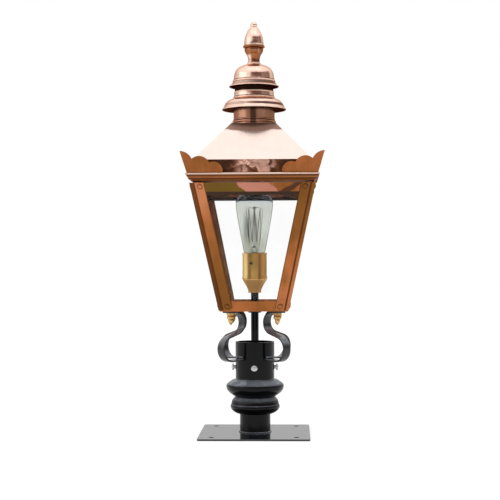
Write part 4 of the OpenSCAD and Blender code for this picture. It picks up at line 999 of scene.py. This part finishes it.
class LANTERN_OT_bulb(Operator):
    """Blows the clear bulb, its glass stem and its looped filament"""

    bl_idname = "lantern.bulb"
    bl_label = "Bulb"

    def execute(self, context):
        wall = 0.8
        out = spline(np.reshape(
            (12, -6, 12, -1.5, 12.9, 1.6, 15.6, 5.6, 18.2, 10.6, 19.8, 17, 23.6, 38, 27.7, 60, 30.6, 78,
            31.9, 90, 31.3, 98, 28.4, 105.6, 22.6, 111.8, 14, 115.6, 6, 116.9, 0, 117), (-1, 2)) + (0, BULB),
            9)
        t = along(out)
        inside = out + np.stack([-t[:, 1], t[:, 0]], 1) * wall
        inside[-1, 0] = 0
        # Two sheets that share the rim at the cap, so that the wall is one closed shell.
        sheets = [revolve(line * MM, 96) for line in (out, np.vstack([out[:1], inside]))]
        ob = lattice("bulb_glass_blown", sheets, 80)
        dress(ob, "Bulb glass", "head", "clear_glass", "bulb_glass")
        stem = outline(
            BULB, (0, -5, 10, -5), (10, -5, 8, -1, 5.4, 5, 4.6, 12, 4.4, 17, 3, 19.4, 1.5, 21), (1.5, 21,
            1.3, 50, 1.2, 83.8), (1.2, 83.8, 2.1, 84.8, 2.4, 86, 1.7, 87.7, 0, 88.4))
        dress(turned("bulb_stem_drawn", stem, turns=32), "Stem glass", "head", "clear_glass", "bulb_stem")
        # Filament: a wire that runs up and down between two rings, turning round a hook at each end.
        loops, low, high = 8, BULB + 27, BULB + 85
        t = np.linspace(0, 1, 700)
        turn = 2 * np.pi * (loops - 0.5) / loops * t
        wave = np.clip(np.abs(((t * (2 * loops - 1)) % 2) - 1), 0.012, 0.988)
        r = 9.5 + 4.0 * wave + 0.6 * np.sin(np.pi * wave)
        coil = np.stack([r * np.cos(turn), r * np.sin(turn), low + (high - low) * wave], 1)

        def radial(*places):
            """Smooth wire through places given as (angle, radius, height above the bulb's foot)."""
            return spline([[r * math.cos(a), r * math.sin(a), BULB + h] for a, r, h in places])

        stays = [radial((a, 1.2, 86.4), (a, 7, 87.2), (a, 13, 85)) for a in np.arange(4) * math.pi / 2 + 0.4]
        leads = [radial((a, 4.0, 8), (a, 5.6, 17), (b, 9.5, 27)) for a, b in ((0, 0), (math.pi, turn[-1]))]
        ob = wires("bulb_filament_drawn", [p * MM for p in (coil, *stays, *leads)], shape().wire)
        dress(ob, "Filament", "head", "filament_wire", "bulb_filament")
        return {"FINISHED"}


# The lantern's stage


class LANTERN_OT_stage(Operator):
    """Lays the pale floor, hangs the softboxes and sets the camera"""

    bl_idname = "lantern.stage"
    bl_label = "Stage"

    def lamp(self, name, spot, aim, size, power):
        """Softbox at a spot, turned towards its aim."""
        data = bpy.data.lights.new(name, "AREA")
        data.shape = "RECTANGLE"
        data.size, data.size_y = size
        data.energy = power
        ob = bpy.data.objects.new(name, data)
        bpy.context.scene.collection.objects.link(ob)
        ob.location = spot
        ob.rotation_euler = (Vector(aim) - Vector(spot)).to_track_quat("-Z", "Y").to_euler()
        ob.visible_camera = False

    def floor(self, reach=9.0):
        """Pale matt floor that shines a little where the camera, a reflection or clear glass shows it."""
        me = bpy.data.meshes.new("floor")
        me.from_pydata([(x * reach, y * reach, 0) for x, y in ((-1, -1), (1, -1), (1, 1), (-1, 1))], [],
                       [(0, 1, 2, 3)])
        ob = bpy.data.objects.new("floor", me)
        bpy.context.scene.collection.objects.link(ob)
        m = bpy.data.materials.new("Pale floor")
        m.use_nodes = True
        m.node_tree.nodes.remove(surface(m))
        plain = node(m, "ShaderNodeBsdfDiffuse")
        link(span(noise(m, 30, 2, 0.5), 0.3, 0.7, 0.62, 0.66), plain, "Color")
        ray = node(m, "ShaderNodeLightPath").outputs
        seen = calc("MAXIMUM", calc("MAXIMUM", ray["Is Camera Ray"], ray["Is Glossy Ray"]),
                    ray["Is Transmission Ray"])
        lit = node(m, "ShaderNodeEmission", Color=(1, 1, 1, 1))
        link(times(seen, 0.60), lit, "Strength")
        both = node(m, "ShaderNodeAddShader")
        link(plain.outputs[0], both, 0)
        link(lit.outputs[0], both, 1)
        link(both.outputs[0], m.node_tree.nodes["Material Output"], "Surface")
        me.materials.append(m)

    def world(self):
        """White behind the lantern for the camera and through glass; for gloss a pale studio with a warm dark
        card at the right, whose top edge is ragged, and dim bands low in front and behind."""
        w = bpy.data.worlds.new("Studio")
        bpy.context.scene.world = w
        w.use_nodes = True
        w.node_tree.nodes.clear()
        x, y, z = place(w, "Generated")
        ragged = noise(w, 7.0, 3.0, 0.6, (1, 1, 0.2), "Generated")
        height = times(ragged, -0.24, calc("ADD", z, 0.12))
        wider = times(span(height, 0.36, 0.27), 0.45, x)
        card = times(span(wider, -0.40, -0.12), span(y, 0.10, 0.45, 1.0, 0.0))
        card = times(card, between(height, 0.20, 0.50, 0.08))
        low = times(span(y, -0.80, -0.97), span(z, 0.20, 0.04))
        behind = times(span(y, 0.80, 0.95), between(z, -0.20, 0.06, 0.05))
        dark = calc("MAXIMUM", times(card, 0.86), times(low, 0.50))
        dark = calc("MAXIMUM", dark, times(behind, 0.65))
        sky = times(span(z, 0.05, 0.60, 0.64, 1.12), span(z, 0.80, 0.93, 1.0, 0.52))
        gloss, white, soft = [node(w, "ShaderNodeBackground", Color=(1, 1, 1, 1), Strength=s)
                              for s in (1.0, 1.0, 0.7)]
        link(times(sky, calc("SUBTRACT", 1.0, dark)), gloss, "Strength")
        link(blend_colour(card, (1, 1, 1), (1.0, 0.52, 0.36)), gloss, "Color")
        ray = node(w, "ShaderNodeLightPath").outputs
        seen = calc("MAXIMUM", ray["Is Camera Ray"], ray["Is Transmission Ray"])
        lighting, whole = node(w, "ShaderNodeMixShader"), node(w, "ShaderNodeMixShader")
        for k, out in enumerate((ray["Is Glossy Ray"], soft.outputs[0], gloss.outputs[0])):
            link(out, lighting, k)
        for k, out in enumerate((seen, lighting.outputs[0], white.outputs[0])):
            link(out, whole, k)
        link(whole.outputs[0], node(w, "ShaderNodeOutputWorld"), "Surface")

    def camera(self, s, shift=0.0078, height=0.292, pitch=math.radians(0.53), roll=math.radians(0.2)):
        """Camera turned round the axis, moved left by shift, and tipped and rolled by small angles."""
        cam = bpy.data.cameras.new("Camera")
        cam.lens = s.lens
        cam.sensor_width = 36
        cam.sensor_fit = "HORIZONTAL"
        cam.clip_start = 0.05
        ob = bpy.data.objects.new("Camera", cam)
        bpy.context.scene.collection.objects.link(ob)
        right = Vector((math.cos(s.turn), math.sin(s.turn), 0))
        ahead = Vector((-math.sin(s.turn), math.cos(s.turn), 0))
        spot = -ahead * s.distance - right * shift + Vector((0, 0, height))
        look = (ahead * math.cos(pitch) + Vector((0, 0, math.sin(pitch)))).normalized()
        above = right.cross(look).normalized()
        rolled = Matrix.Rotation(roll, 3, look)
        axes = Matrix((rolled @ right, rolled @ above, -look)).transposed()
        ob.matrix_world = Matrix.Translation(spot) @ axes.to_4x4()
        bpy.context.scene.camera = ob

    def execute(self, context):
        s = context.scene.lantern_stage
        context.scene.view_settings.view_transform = "Standard"
        self.floor()
        self.world()
        self.camera(s)
        self.lamp("Softbox above", (0, -0.15, 2.3), (0, 0, 0.45), (1.9, 1.9), s.overhead)
        self.lamp("Softbox left", (-1.9, -0.7, 0.9), (0, 0, 0.4), (1.8, 1.6), s.side)
        self.lamp("Softbox right", (1.9, -0.7, 0.9), (0, 0, 0.4), (1.8, 1.6), s.side * 0.25)
        return {"FINISHED"}


class LANTERN_PT_panel(Panel):
    """Lists the lantern's settings and steps"""

    bl_idname = "LANTERN_PT_panel"
    bl_label = "Pillar lantern"
    bl_space_type = "VIEW_3D"
    bl_region_type = "UI"
    bl_category = "Lantern"

    def draw(self, context):
        for name, kind in SETTINGS.items():
            for key in kind.__annotations__:
                self.layout.prop(getattr(context.scene, name), key)
        for step in STEPS:
            self.layout.operator(step.bl_idname)


STEPS = (LANTERN_OT_frame_finishes, LANTERN_OT_ring_moulds, LANTERN_OT_scroll_arms, LANTERN_OT_frame_rivets,
         LANTERN_OT_acorn_nuts, LANTERN_OT_chimney, LANTERN_OT_finial, LANTERN_OT_lampholder,
         LANTERN_OT_bulb, LANTERN_OT_stage)
SETTINGS = {"lantern_finish": LanternFinish, "lantern_shape": LanternShape, "lantern_stage": LanternStage}


def register():
    for c in (*SETTINGS.values(), *STEPS, LANTERN_PT_panel):
        bpy.utils.register_class(c)
    for name, c in SETTINGS.items():
        setattr(bpy.types.Scene, name, PointerProperty(type=c))


def unregister():
    for name in SETTINGS:
        delattr(bpy.types.Scene, name)
    for c in (LANTERN_PT_panel, *reversed(STEPS), *SETTINGS.values()):
        bpy.utils.unregister_class(c)


def main():
    register()
    bpy.ops.lantern.frame_finishes()
    bpy.ops.lantern.ring_moulds()
    bpy.ops.lantern.scroll_arms()
    bpy.ops.lantern.frame_rivets()
    bpy.ops.lantern.acorn_nuts()
    bpy.ops.lantern.chimney()
    bpy.ops.lantern.finial()
    bpy.ops.lantern.lampholder()
    bpy.ops.lantern.bulb()
    bpy.ops.lantern.stage()


if __name__ == "__main__":
    main()
